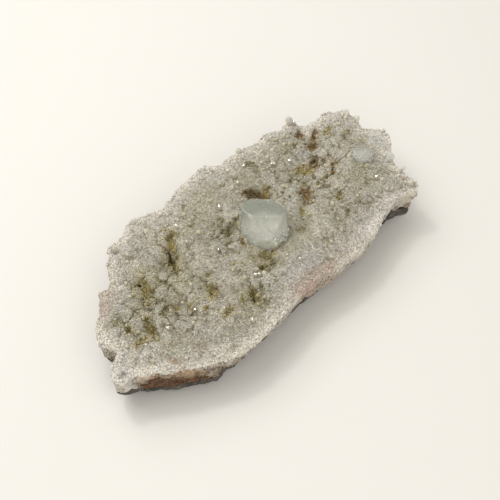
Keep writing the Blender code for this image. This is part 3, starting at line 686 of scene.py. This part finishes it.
def makeBed():
    # rings of vertices: from the spine out to the rim over the top, down the side, and back underneath
    rows = bedForm["rows"]
    rings = []
    for share in shares(rows["top"]):
        xy = ringAt(rimRadius * share)
        z = between(topMap, *xy.T) - bedForm["stainDrop"] * pitDarkness(*xy.T)
        if share == 1:
            z = np.minimum(z, rimHeight - bedForm["rimDrop"])
        rings.append((xy, z, 0.0))
    for down in shares(rows["side"]):
        radius, z = crustShape(everyPlace, np.full(aroundSteps, down))
        rings.append((ringAt(radius), z, down))
    lastRadius = np.hypot(*(rings[-1][0] - spineXY).T)
    for share in 1 - shares(rows["under"])[:-1]:
        xy = ringAt(lastRadius * share)
        rings.append((xy, between(undersideMap, *xy.T), 1.0))
    vertices, low = stacked(rings)
    # broken crystals make the side uneven: noise in and out, stretched upright
    onSide = (low > 0) & (np.arange(len(low)) < aroundSteps * (rows["top"] + rows["side"]))
    stretched = vertices * (1, 1, 0.45)
    push = (0.55 * noise(stretched, 1.5, 90) + 0.6 * noise(stretched, 3.6, 91)) * onSide
    vertices[:, :2] += np.tile(outward, (len(rings), 1)) * push[:, None]
    vertices, faces = closed(vertices, between(topMap, *spineLine), between(undersideMap, *spineLine))
    low = np.concatenate([low, np.repeat([0.0, 1.0], sideSteps + 1)])
    x, y = vertices[:, :2].T
    gap = edgeGap(x, y)
    isTop = low == 0
    colour = paint(vertices, gap, low)
    # painted shade: the bed shows only in the gaps between the crystals, so it is darker in the holes and
    # further in from the rim
    colour = colour * (1 - 0.4 * (holesAt(x, y) * isTop * smoothStep(gap, 2, 6)))[:, None]
    colour *= mix(0.9, 0.98, smoothStep(gap, 8, 1))[:, None]
    # painted light: the bed under the blocky crystals is made pale so that they look lit through
    for name in blocks:
        colour = tinted(colour, druse["litBeneath"], 0.9 * (smoothStep(-topGap(name, x, y), 0.0, 1.5) * isTop))
    return meshPiece("druse_bed", vertices, faces, True, colour)


bed = makeBed()

print("crystals")


def crystalForms(halfSide, prism, cap, sink, kind):
    # Corners of square crystals standing on the ground, one row each, from rings: the foot and the
    # shoulder at the prism's corners, then the flat top. The pyramid between them cuts the prism's
    # corners, and so also meets the middle of each prism face; on plain ones it stands on the faces.
    # The smallest, of two rings only, are blocks that narrow upwards.
    corner = np.array([[1, 1], [-1, 1], [-1, -1], [1, -1]], float)
    middle = np.array([[1, 0], [0, 1], [-1, 0], [0, -1]], float)
    a, p, c = halfSide[:, None], prism[:, None], (cap * halfSide)[:, None]
    tip = p + 2 * pyramidFall * a
    rings = [(corner, a, -sink[:, None]), (corner, c if kind == "block" else a, p)]
    if kind == "plain":
        rings += [(corner, c, p + math.sqrt(2) * pyramidFall * (a - c))]
    elif kind == "whole":
        rings += [(middle, a, tip - pyramidFall * a), (middle, c, tip - pyramidFall * c)]
    parts = [withZ(shape[:, 0] * size, shape[:, 1] * size, level) for shape, size, level in rings]
    return np.concatenate(parts, axis=1)


# faces of one crystal of each kind: foot, top, four prism faces and, but for a block, four pyramid faces
crystalFaces = {
    "whole": [np.array([[3, 2, 1, 0], [12, 13, 14, 15]]),
              np.array([[3, 0, 4, 8, 7], [0, 1, 5, 9, 4], [1, 2, 6, 10, 5], [2, 3, 7, 11, 6],
                        [4, 9, 13, 12, 8], [5, 10, 14, 13, 9], [6, 11, 15, 14, 10], [7, 8, 12, 15, 11]])],
    "plain": [np.array([[3, 2, 1, 0], [3, 0, 4, 7], [0, 1, 5, 4], [1, 2, 6, 5], [2, 3, 7, 6],
                        [7, 4, 8, 11], [4, 5, 9, 8], [5, 6, 10, 9], [6, 7, 11, 10], [8, 9, 10, 11]])],
    "block": [np.array([[3, 2, 1, 0], [3, 0, 4, 7], [0, 1, 5, 4], [1, 2, 6, 5], [2, 3, 7, 6],
                        [4, 5, 6, 7]])],
}


def attitudes(normals, lean):
    # turns for crystals that stand along the normals, each leaning up to `lean` its own way and
    # turned about its own axis: columns are the crystal's x, y and z
    count = len(normals)
    heading = chance.uniform(0, 2 * math.pi, count)
    amount = np.tan(lean * np.sqrt(chance.uniform(0, 1, count)))
    any3 = np.where(np.abs(normals[:, 2:3]) < 0.9, (0.0, 0.0, 1.0), (1.0, 0.0, 0.0))
    first = unit(np.cross(any3, normals))
    second = np.cross(normals, first)
    sideways = first * np.cos(heading)[:, None] + second * np.sin(heading)[:, None]
    up = unit(normals + sideways * amount[:, None])
    spin = chance.uniform(0, math.pi / 2, count)[:, None]
    first = unit(np.cross(any3, up))
    x = first * np.cos(spin) + np.cross(up, first) * np.sin(spin)
    return np.stack([x, np.cross(up, x), up], axis=-1)


def crystalMesh(name, form, places, turns, colours, kind):
    # one mesh of crystals from each one's own form, place, turn and colours
    vertices = np.einsum("nij,nvj->nvi", turns, form) + places[:, None]
    offsets = (np.arange(len(form)) * form.shape[1])[:, None, None]
    faces = [(side[None] + offsets).reshape(-1, side.shape[1]) for side in crystalFaces[kind]]
    triangles = sum(len(array) * (array.shape[1] - 2) for array in faces)
    print(name, len(form), "crystals", triangles, "triangles")
    return meshPiece(name, vertices.reshape(-1, 3), faces, False, colours.reshape(-1, 3))


def growCrystals(name, places, normals, halfSide, colours, lean, prism=(0.2, 0.9), cap=(0.35, 0.9),
                 squeeze=0.2, kind="whole", calm=0.0):
    # many crystals, lower and more upright where calm is near 1; each is darker at its foot, where
    # light hardly comes
    count = len(places)
    form = crystalForms(halfSide, halfSide * chance.uniform(*prism, count) * (1 - 0.5 * calm),
                        chance.uniform(*cap, count), halfSide * 0.9, kind)
    form[..., :2] *= chance.uniform(1 - squeeze, 1 + squeeze, (count, 1, 2))
    turns = attitudes(normals, lean * (1 - 0.65 * calm))
    shade = np.array([0.93] * 4 + [0.95] * 8 + [0.97] * 4)[:form.shape[1]]
    colours = colours[:, None] * shade[None, :, None] * chance.normal(1, 0.04, (count, 1, 1))
    return crystalMesh(name, form, places, turns, colours, kind)


def scattered(spacing, share):
    # points of a square grid, each moved at random within its cell, that lie on the crust's top
    x, y = np.meshgrid(np.arange(gridX[0], gridX[-1], spacing), np.arange(gridY[0], gridY[-1], spacing))
    x = x.ravel() + chance.uniform(-0.5, 0.5, x.size) * spacing
    y = y.ravel() + chance.uniform(-0.5, 0.5, y.size) * spacing
    keep = (edgeGap(x, y) > 0.1) & (chance.uniform(0, 1, x.size) < share)
    for block, reach in grownOver.items():
        keep &= topGap(block, x, y) > -reach
    return kept(keep, x, y)


def onTop(x, y, rise=0.0):
    # places on the bed, and the directions in which crystals grow there
    normals = np.stack([-between(slopeX, x, y), -between(slopeY, x, y), np.ones_like(x)], axis=1)
    normals[:, :2] *= 0.8
    return withZ(x, y, between(topMap, x, y) + rise), unit(normals)


def coverTop(name, spacing, sizes, inPits, share=1.0, fromX=-100, toX=100, inCalm=1.0, **form):
    # crystals over the top between two places along X; fewer and smaller ones grow in the pits,
    # fewer in the holes, and only the share inCalm of them where the druse is smooth
    x, y = scattered(spacing, share)
    x, y = kept((x > fromX) & (x <= toX), x, y)
    inside, calm = pitDarkness(x, y), calmAt(x, y)
    keep = chance.uniform(0, 1, len(x)) > inside * (1 - inPits)
    keep &= chance.uniform(0, 1, len(x)) > calm * (1 - inCalm)
    keep &= (chance.uniform(0, 1, len(x)) > 0.6 * holesAt(x, y)) | (edgeGap(x, y) < 4)
    x, y, inside, calm = kept(keep, x, y, inside, calm)
    gap = edgeGap(x, y)
    halfSide = chance.uniform(*sizes, len(x)) * (1 - 0.1 * inside) * mix(0.75, 1.0, smoothStep(gap, 1, 8))
    halfSide *= 1 + 0.15 * layered(withZ(x, y), 6, 2, 190)
    places, normals = onTop(x, y)
    places[:, 2] += 0.2 * inside
    return growCrystals(name, places, normals, halfSide, paint(places, gap), calm=calm, **form)


# How they grow on the top: mm between them, half sides in mm, the share of places taken in all, in the
# pits and where it is smooth, the lean in radians, and their prisms' heights, flat tops and uneven
# sides as shares of the half side
topCrystals = {
    "fine": {"spacing": 0.64, "sizes": (0.29, 0.49), "inPits": 0.9, "lean": 0.36, "prism": (0.25, 0.75),
             "cap": (0.6, 0.95), "squeeze": 0.4, "kind": "block"},
    "small": {"spacing": 1.35, "sizes": (0.34, 0.56), "share": 0.3, "inPits": 0.3, "inCalm": 0.3,
              "lean": 0.5, "prism": (0.1, 0.6), "cap": (0.5, 0.9), "kind": "plain"},
    "bold": {"spacing": 3.6, "sizes": (0.6, 0.95), "share": 0.3, "inPits": 0.05, "inCalm": 0.2,
             "lean": 0.3, "prism": (0.0, 0.2), "cap": (0.6, 0.95)},
}
stretches = {"left": (-100, -30), "middle": (-30, 30), "right": (30, 100)}     # along X
crystalPieces = [coverTop("crystals_fine_" + name, fromX=start, toX=end, **topCrystals["fine"])
                 for name, (start, end) in stretches.items()]
crystalPieces += [coverTop("crystals_" + name, **topCrystals[name]) for name in ("small", "bold")]

# On the crust's side, in mm: the way round it by its height, between them, half sides, how far sunk in
sideCrystals = {"area": 470 * 9, "spacing": 1.2, "sizes": (0.4, 0.85), "sunk": 0.25}


def coverSide():
    # broken crystals on the crust's side, pointing outwards every way
    count = int(sideCrystals["area"] / sideCrystals["spacing"] ** 2)
    place = chance.uniform(0, aroundSteps, count)
    down = chance.uniform(0.02, 0.97, count)
    radius, z = crustShape(place, down)
    index = np.round(place).astype(int) % aroundSteps
    xy = spineXY[index] + outward[index] * (radius - sideCrystals["sunk"])[:, None]
    places = np.column_stack([xy, z])
    colour = paint(places, np.zeros(count), down)
    return growCrystals("crystals_side", places, unit(withZ(*outward[index].T, 0.25)),
                        chance.uniform(*sideCrystals["sizes"], count), colour, lean=1.0, kind="plain")


crystalPieces.append(coverSide())

# Crystals that stand out, from the photograph, each with smaller ones round it: x, y, half side,
# heading and lean in degrees, and the top's share of the width
standouts = [
    (60.6, 33.8, 1.7, 125, 14, 0.7), (-34.5, 39.2, 1.2, 125, 12, 0.7), (10.5, 39.4, 1.2, 50, 12, 0.7),
    (83.0, 17.4, 1.6, 30, 14, 0.8), (77.8, -31.0, 1.4, -35, 15, 0.5), (-51.0, 33.8, 1.2, 135, 12, 0.7),
    (-88.0, -14.8, 1.3, 190, 10, 0.8), (80.5, -14.5, 1.9, -20, 12, 0.85), (-63.8, 22.3, 1.4, 120, 20, 0.6),
    (30.0, 38.5, 1.1, 70, 14, 0.6), (70.5, 27.5, 1.3, 60, 14, 0.7), (-70.0, 27.0, 1.2, 140, 14, 0.7),
    (-84.0, 6.5, 1.3, 170, 14, 0.7), (85.5, 12.0, 1.4, 30, 12, 0.7),
]
satellites = {"count": 4, "reach": 0.95, "share": (0.4, 0.75)}     # distance and size, of the half side

# Fine crystals at the right tip: x, y and heading in degrees
spikes = {
    "places": [(80.5, -30.5, -40), (78.5, -33.8, -60), (72.0, -34.0, -80), (82.0, -24.0, -30),
               (90.5, -1.5, 0)],
    "perPlace": 6,
    "halfSide": (0.35, 0.6),
    "length": (1.8, 3.4),         # prism heights, as shares of the half side
}


def growStandouts():
    each = satellites["count"] + 1
    x, y, halfSide, heading, lean, cap = np.repeat(np.array(standouts), each, axis=0).T
    isSmall = np.arange(len(x)) % each > 0
    angle = chance.uniform(0, 2 * math.pi, len(x))
    x = x + isSmall * satellites["reach"] * halfSide * np.cos(angle)
    y = y + isSmall * satellites["reach"] * halfSide * np.sin(angle)
    halfSide = halfSide * np.where(isSmall, chance.uniform(*satellites["share"], len(x)), 1)
    lean = lean + isSmall * chance.uniform(0, 25, len(x))
    heading = np.where(isSmall, np.degrees(angle), heading)
    keep = edgeGap(x, y) > np.where(isSmall, 0.9, 0.2)
    x, y, halfSide, heading, lean, cap = kept(keep, x, y, halfSide, heading, lean, cap)
    places, normals = onTop(x, y)
    turn, amount = np.radians(heading), np.tan(np.radians(lean))
    turns = attitudes(unit(normals + withZ(np.cos(turn) * amount, np.sin(turn) * amount)), 0.01)
    form = crystalForms(halfSide, halfSide * 0.6, cap, halfSide * 0.9, "whole")
    colour = tinted(paint(places, edgeGap(x, y)), druse["standing"], 0.45)
    colour = colour * chance.normal(1, 0.05, (len(x), 1))
    colours = np.repeat(colour[:, None], form.shape[1], axis=1)
    return crystalMesh("crystals_standing_out", form, places, turns, colours, "whole")


def growSpikes():
    x, y, heading = np.repeat(np.array(spikes["places"]), spikes["perPlace"], axis=0).T
    count = len(x)
    x, y = x + chance.normal(0, 1.1, count), y + chance.normal(0, 1.1, count)
    gap = edgeGap(x, y)
    x, y, heading, gap = kept(gap > 0.3, x, y, heading, gap)
    turn = np.radians(heading)
    places = onTop(x, y, 0.2)[0]
    normals = unit(withZ(np.cos(turn), np.sin(turn), 0.7))
    return growCrystals("spikes_at_the_tip", places, normals, chance.uniform(*spikes["halfSide"], len(x)),
                        paint(places, gap), lean=0.5, prism=spikes["length"], cap=(0.2, 0.6))


# Crystals whose tops face halfway between the sparkle light and the camera, so that they flash
glints = {
    "places": [(34.4, 19.5), (35.2, 18.6), (42.6, 15.3), (14.5, 22.2), (-1.7, 17.0), (-17.2, 0.5),
               (-44.8, -14.4), (-29.3, -35.1), (-13.4, -20.1), (-12.0, -21.0), (62.0, 32.4),
               (66.0, -20.0), (24.0, 28.0), (-60.0, -14.0), (-24.0, 22.0), (8.0, -27.0)],
    "halfSide": (0.55, 0.85),
}


def growGlints():
    x, y = np.array(glints["places"], float).T
    places = onTop(x, y, 0.9)[0]
    camera = np.array(bpy.context.scene.camera.matrix_world.translation) / mm
    normals = unit(unit(np.array(studio["sparkle"][2]) - places) + unit(camera - places))
    return growCrystals("crystals_flashing", places, normals, chance.uniform(*glints["halfSide"], len(x)),
                        paint(places, edgeGap(x, y)), lean=0.05, prism=(0.5, 1.0), cap=(0.9, 0.97))


studio = {
    "floor": "#e9e6e0",
    "key": (4.45, 0.8, (-100, 480, 800)),        # watts, size in m, place in mm
    "sparkle": (1.1, 0.12, (-60, 420, 820)),     # small, so that the crystals' faces flash
    "fill": (2.6, 1.0, (-300, -600, 700)),
    "sky": ("#f4f1ea", 0.6),
}
crystalPieces += [growStandouts(), growSpikes()]
flashing = growGlints()

print("blocky crystals")


def blockSurface(node, direction):
    # A rounded convex form: in direction d its surface is at (Σ (n·d / h)^p)^(−1/p) from the middle,
    # over the planes with normal n and distance h of the solid. A high p keeps the faces flat.
    middle, normals, reach = blocks[node]
    sharpness = blockLooks[node]["sharpness"]
    pressure = np.maximum(direction @ normals.T, 0) / reach
    radius = (pressure ** sharpness).sum(axis=1) ** (-1 / sharpness)
    return direction * radius[:, None] + middle, normals[pressure.argmax(axis=1)]


# The blocky crystals: vertices up and round, how sharp their edges are, the colours of the clear part
# and of the frosted one, partly painted shade and light, and the border between them in mm; and the small
# crystals grown up against them: how many, heading and elevation from the middle with their spreads in
# degrees, and half sides
blockLooks = {
    "large_crystal": {
        "rows": 130, "columns": 200, "sharpness": 28, "clear": "#bec2b5", "frosted": "#ebeae0",
        "border": (-3.0, 5.0), "climbers": 70, "heading": (-84, 20), "elevation": (-16, 13),
        "halfSide": (0.25, 0.6),
    },
    "second_crystal": {
        "rows": 70, "columns": 110, "sharpness": 12, "clear": "#dcd9cc", "frosted": "#e8e9e0",
        "border": (-3.0, 1.0), "climbers": 50, "heading": (0, 180), "elevation": (24, 8),
        "halfSide": (0.2, 0.4),
    },
}
# a painted glint, a bright streak on the second one's top: x, y, half length and half width in mm, direction
paintedGlintStreak = (71.3, -6.6, 2.0, 0.4, 0.1)


def pointing(latitude, longitude):
    return np.stack([np.cos(latitude) * np.cos(longitude), np.cos(latitude) * np.sin(longitude),
                     np.sin(latitude)], axis=-1)


def makeBlock(name, node):
    look = blockLooks[node]
    rows, columns = look["rows"], look["columns"]
    latitude = np.linspace(math.pi / 2, -math.pi / 2, rows + 2)[1:-1]
    longitude = np.linspace(0, 2 * math.pi, columns, endpoint=False)
    direction = pointing(*np.meshgrid(latitude, longitude, indexing="ij")).reshape(-1, 3)
    direction = np.concatenate([direction, [[0, 0, 1], [0, 0, -1]]])
    vertices, owner = blockSurface(node, direction)
    # growth lines: fine upright grooves on the prism faces, low terraces on the top
    sideways = np.abs(owner[:, 2]) < 0.35
    lateral = np.cross(owner, (0, 0, 1))
    groove = noise(withZ((vertices * lateral).sum(axis=1), vertices[:, 2] * 0.05), 0.9, 120)
    vertices += owner * (0.05 * groove * sideways)[:, None]
    top = owner[:, 2] > 0.8
    vertices += owner * (0.04 * np.round(3 * layered(vertices, 5, 2, 124)) / 3 * top)[:, None]
    quads = ringFaces(rows, columns)
    ring = np.arange(columns)
    after = (ring + 1) % columns
    upper = np.stack([np.full(columns, rows * columns), ring, after], axis=1)
    last = (rows - 1) * columns
    lower = np.stack([np.full(columns, rows * columns + 1), last + after, last + ring], axis=1)
    # clear at the back and frosted towards the front, with a ragged border between them; the back is also
    # painted darker and the front, towards the camera, painted lighter, as shade and light within the
    # crystal
    front = (blocks[node][0] - vertices) @ np.array([0.68, 0.73, 0.0]) + 2.2 * layered(vertices, 5, 3, 132)
    tint = tinted(linear(look["clear"]), look["frosted"], smoothStep(front, *look["border"]))
    grain = 0.06 + 0.12 * smoothStep(front + 3 * noise(vertices, 6, 135), 2, 6)
    tint *= (1 + 0.08 * layered(vertices, 3, 3, 130) + grain * noise(vertices, 0.7, 134))[:, None]
    # painted highlight: a bright streak on the top of the second crystal
    glintStreak = ellipseShare(*vertices[:, :2].T, *paintedGlintStreak)
    tint = tinted(tint, "#ffffff", 0.8 * (1 - smoothStep(glintStreak, 0.6, 1.1)) * top)
    return meshPiece(name, vertices, [quads, np.concatenate([upper, lower])], True, tint)


large = makeBlock("large_block", "large_crystal")
second = makeBlock("second_block", "second_crystal")


def growClimbers(name, node):
    look = blockLooks[node]
    count = look["climbers"]
    heading = np.radians(chance.normal(*look["heading"], count))
    elevation = np.radians(chance.normal(*look["elevation"], count))
    places, normals = blockSurface(node, pointing(elevation, heading))
    colours = tinted(paint(places, edgeGap(*places[:, :2].T)), druse["climbing"], 0.75)
    return growCrystals(name, places, normals, chance.uniform(*look["halfSide"], count), colours, lean=0.5,
                        prism=(0.0, 0.5), cap=(0.5, 0.9))


crystalPieces += [
    growClimbers("crystals_on_the_large_one", "large_crystal"),
    growClimbers("crystals_on_the_second", "second_crystal"),
]

print("basalt")

basalt = {
    "rows": {"top": 8, "side": 24, "under": 18},
    "gap": 0.3,                 # mm: between it and the crust
    "chips": (2.6, 0.8),        # mm: size and depth of the chips on its broken faces
    "holes": (1.6, 0.55),       # mm: size of its gas holes, and how much of the surface has them
    "dark": "#3b3835",
    "light": "#625b52",
    "weathered": "#77604a",
    "filled": "#8d9279",        # gas holes filled with a pale green mineral
}


def makeBasalt():
    # rings again: over the hidden top, down the side to the surface it rests on, and back underneath
    rows = basalt["rows"]
    rings = []
    seam = aroundAt(seamHeight, everyPlace) - basalt["gap"]
    upperRadius = rowAt(basaltSide, everyPlace, (seam - basalt["gap"]) / levelStep)
    for share in shares(rows["top"]):
        xy = ringAt(upperRadius * share)
        rings.append((xy, between(basaltTopMap, *xy.T), 0.0))
    for down in shares(rows["side"]):
        z = seam * (1 - down)
        rings.append((ringAt(rowAt(basaltSide, everyPlace, z / levelStep)), z, down))
    lastRadius = rowAt(basaltSide, everyPlace, np.zeros(aroundSteps))
    for share in 1 - shares(rows["under"])[:-1]:
        rings.append((ringAt(lastRadius * share), np.zeros(aroundSteps), 1.0))
    vertices, low = stacked(rings)
    size, depth = basalt["chips"]
    onSide = smoothStep(low, 0.0, 0.1) * smoothStep(vertices[:, 2], 0.0, 1.5)
    cells = np.round(3 * layered(vertices, size * 2, 2, 140)) / 3
    push = depth * cells + 0.3 * layered(vertices, 1.3, 3, 144)
    holeSize, holeShare = basalt["holes"]
    holes = smoothStep(noise(vertices, holeSize, 148), holeShare, 0.8)
    push = (push - 0.9 * holes) * onSide
    vertices[:, :2] += np.tile(outward, (len(rings), 1)) * push[:, None]
    under = np.arange(len(vertices)) >= aroundSteps * (rows["top"] + rows["side"])
    vertices[:, 2] += under * 0.35 * smoothStep(layered(vertices, 5, 3, 150), 0.0, 0.5)
    vertices, faces = closed(vertices, between(basaltTopMap, *spineLine), 0.0)
    light = smoothStep(layered(vertices, 5, 4, 152), -0.4, 0.5)
    colour = tinted(linear(basalt["dark"]), basalt["light"], light)
    weathered = 0.5 * smoothStep(layered(vertices, 9, 3, 154), 0.15, 0.6)
    colour = tinted(colour, basalt["weathered"], weathered)
    colour = tinted(colour, basalt["filled"], 0.5 * smoothStep(noise(vertices, 1.7, 156), 0.6, 0.75))
    colour *= (1 + 0.25 * noise(vertices, 0.9, 158))[:, None]
    return meshPiece("basalt_slab", vertices, faces, False, colour)


slab = makeBasalt()

print("materials")

apophylliteIOR = 1.535


def newMaterial(name):
    material = bpy.data.materials.new(name)
    material.use_nodes = True
    material.node_tree.nodes.clear()
    return material, material.node_tree


def stoneMaterial(name, kind, texture, inputs, bump=None, gloss=None, inside=None):
    # a stone in the colours painted on its mesh, with a fine texture that makes it uneven (bump: which
    # output, strength and height in m) and now duller, now brighter (gloss: two roughnesses)
    material, tree = newMaterial(name)
    tint = addNode(tree, "ShaderNodeAttribute", attribute_name="tint")
    place = addNode(tree, "ShaderNodeTexCoord")
    grain = addNode(tree, kind, [("Vector", place, "Object")], texture)
    links = [("Base Color", tint, "Color")]
    if gloss:
        rough = addNode(tree, "ShaderNodeMapRange", [("Value", grain, "Fac")],
                        {"From Min": 0.35, "From Max": 0.65, "To Min": gloss[0], "To Max": gloss[1]})
        links.append(("Roughness", rough, "Result"))
    if bump:
        uneven = addNode(tree, "ShaderNodeBump", [("Height", grain, bump[0])],
                         {"Strength": bump[1], "Distance": bump[2]})
        links.append(("Normal", uneven, "Normal"))
    ends = [("Surface", addNode(tree, "ShaderNodeBsdfPrincipled", links, inputs), "BSDF")]
    if inside:
        ends.append(("Volume", addNode(tree, "ShaderNodeVolumeAbsorption", inputs=inside), "Volume"))
    addNode(tree, "ShaderNodeOutputMaterial", ends)
    return material


def apophylliteDruse(name, gloss, level):
    # Apophyllite grown in a gas hole: glassy faces, milky within, so each crystal catches the light
    # on its faces and glows a little between them.
    inputs = {"IOR": apophylliteIOR, "Specular IOR Level": level, "Transmission Weight": 0.2,
              "Subsurface Weight": 0.7, "Subsurface Radius": (1.0, 1.0, 0.92), "Subsurface Scale": 0.0016}
    return stoneMaterial(name, "ShaderNodeTexNoise", {"Scale": 900, "Detail": 3}, inputs,
                         ("Fac", 0.15, 0.0002), gloss)


def druseGround():
    # The crust between the crystals: the same mineral in grains too small to see, so it is dull
    inputs = {"IOR": apophylliteIOR, "Specular IOR Level": 0.1, "Roughness": 0.55}
    return stoneMaterial("druse_ground", "ShaderNodeTexVoronoi", {"Scale": 1400}, inputs,
                         ("Distance", 0.6, 0.0004))


def clearApophyllite():
    # One large crystal: glassy faces over a milky, slightly green inside
    inputs = {"IOR": apophylliteIOR, "Transmission Weight": 0.6, "Subsurface Weight": 0.8,
              "Subsurface Radius": (1.0, 1.0, 0.95), "Subsurface Scale": 0.003}
    return stoneMaterial("clear_apophyllite", "ShaderNodeTexNoise", {"Scale": 260, "Detail": 4}, inputs,
                         gloss=(0.14, 0.3), inside={"Color": (0.82, 0.90, 0.86, 1), "Density": 20})


def basaltStone():
    # Broken basalt: fine dark grains, no polish
    return stoneMaterial("broken_basalt", "ShaderNodeTexNoise", {"Scale": 1500, "Detail": 4},
                         {"Roughness": 0.8}, ("Fac", 0.5, 0.0003))


druseMaterial = apophylliteDruse("apophyllite_druse", (0.12, 0.42), 0.2)
flashMaterial = apophylliteDruse("apophyllite_bright_faces", (0.04, 0.1), 0.5)
for piece in crystalPieces:
    piece.data.materials.append(druseMaterial)
    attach(piece, "root")
flashing.data.materials.append(flashMaterial)
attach(flashing, "root")
bed.data.materials.append(druseGround())
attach(bed, "root")
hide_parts("crystal_crust")
clearMaterial = clearApophyllite()
for piece, node in ((large, "large_crystal"), (second, "second_crystal")):
    piece.data.materials.append(clearMaterial)
    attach(piece, "root")
    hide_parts(node)
slab.data.materials.append(basaltStone())
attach(slab, "root")
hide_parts("matrix")

print("floor and lights")


def makeStage():
    reach = 3.0
    corners = np.array([(-1, -1, 0), (1, -1, 0), (1, 1, 0), (-1, 1, 0)], float) * reach / mm
    floor = meshPiece("floor", corners, [np.array([[0, 1, 2, 3]])])
    material, tree = newMaterial("matt_card")
    surface = addNode(tree, "ShaderNodeBsdfPrincipled",
                      inputs={"Base Color": (*linear(studio["floor"]), 1), "Roughness": 0.85})
    addNode(tree, "ShaderNodeOutputMaterial", [("Surface", surface, "BSDF")])
    floor.data.materials.append(material)
    for name in ("key", "sparkle", "fill"):
        power, size, place = studio[name]
        data = bpy.data.lights.new(name, "AREA")
        data.energy = power
        data.size = size
        light = bpy.data.objects.new(name, data)
        bpy.context.scene.collection.objects.link(light)
        place = Vector(place) * mm
        light.matrix_world = Matrix.Translation(place) @ place.to_track_quat("Z", "Y").to_matrix().to_4x4()
    world = bpy.data.worlds.new("sky")
    bpy.context.scene.world = world
    world.use_nodes = True
    background = world.node_tree.nodes["Background"]
    background.inputs["Color"].default_value = (*linear(studio["sky"][0]), 1)
    background.inputs["Strength"].default_value = studio["sky"][1]
    bpy.context.scene.view_settings.view_transform = "Standard"


makeStage()
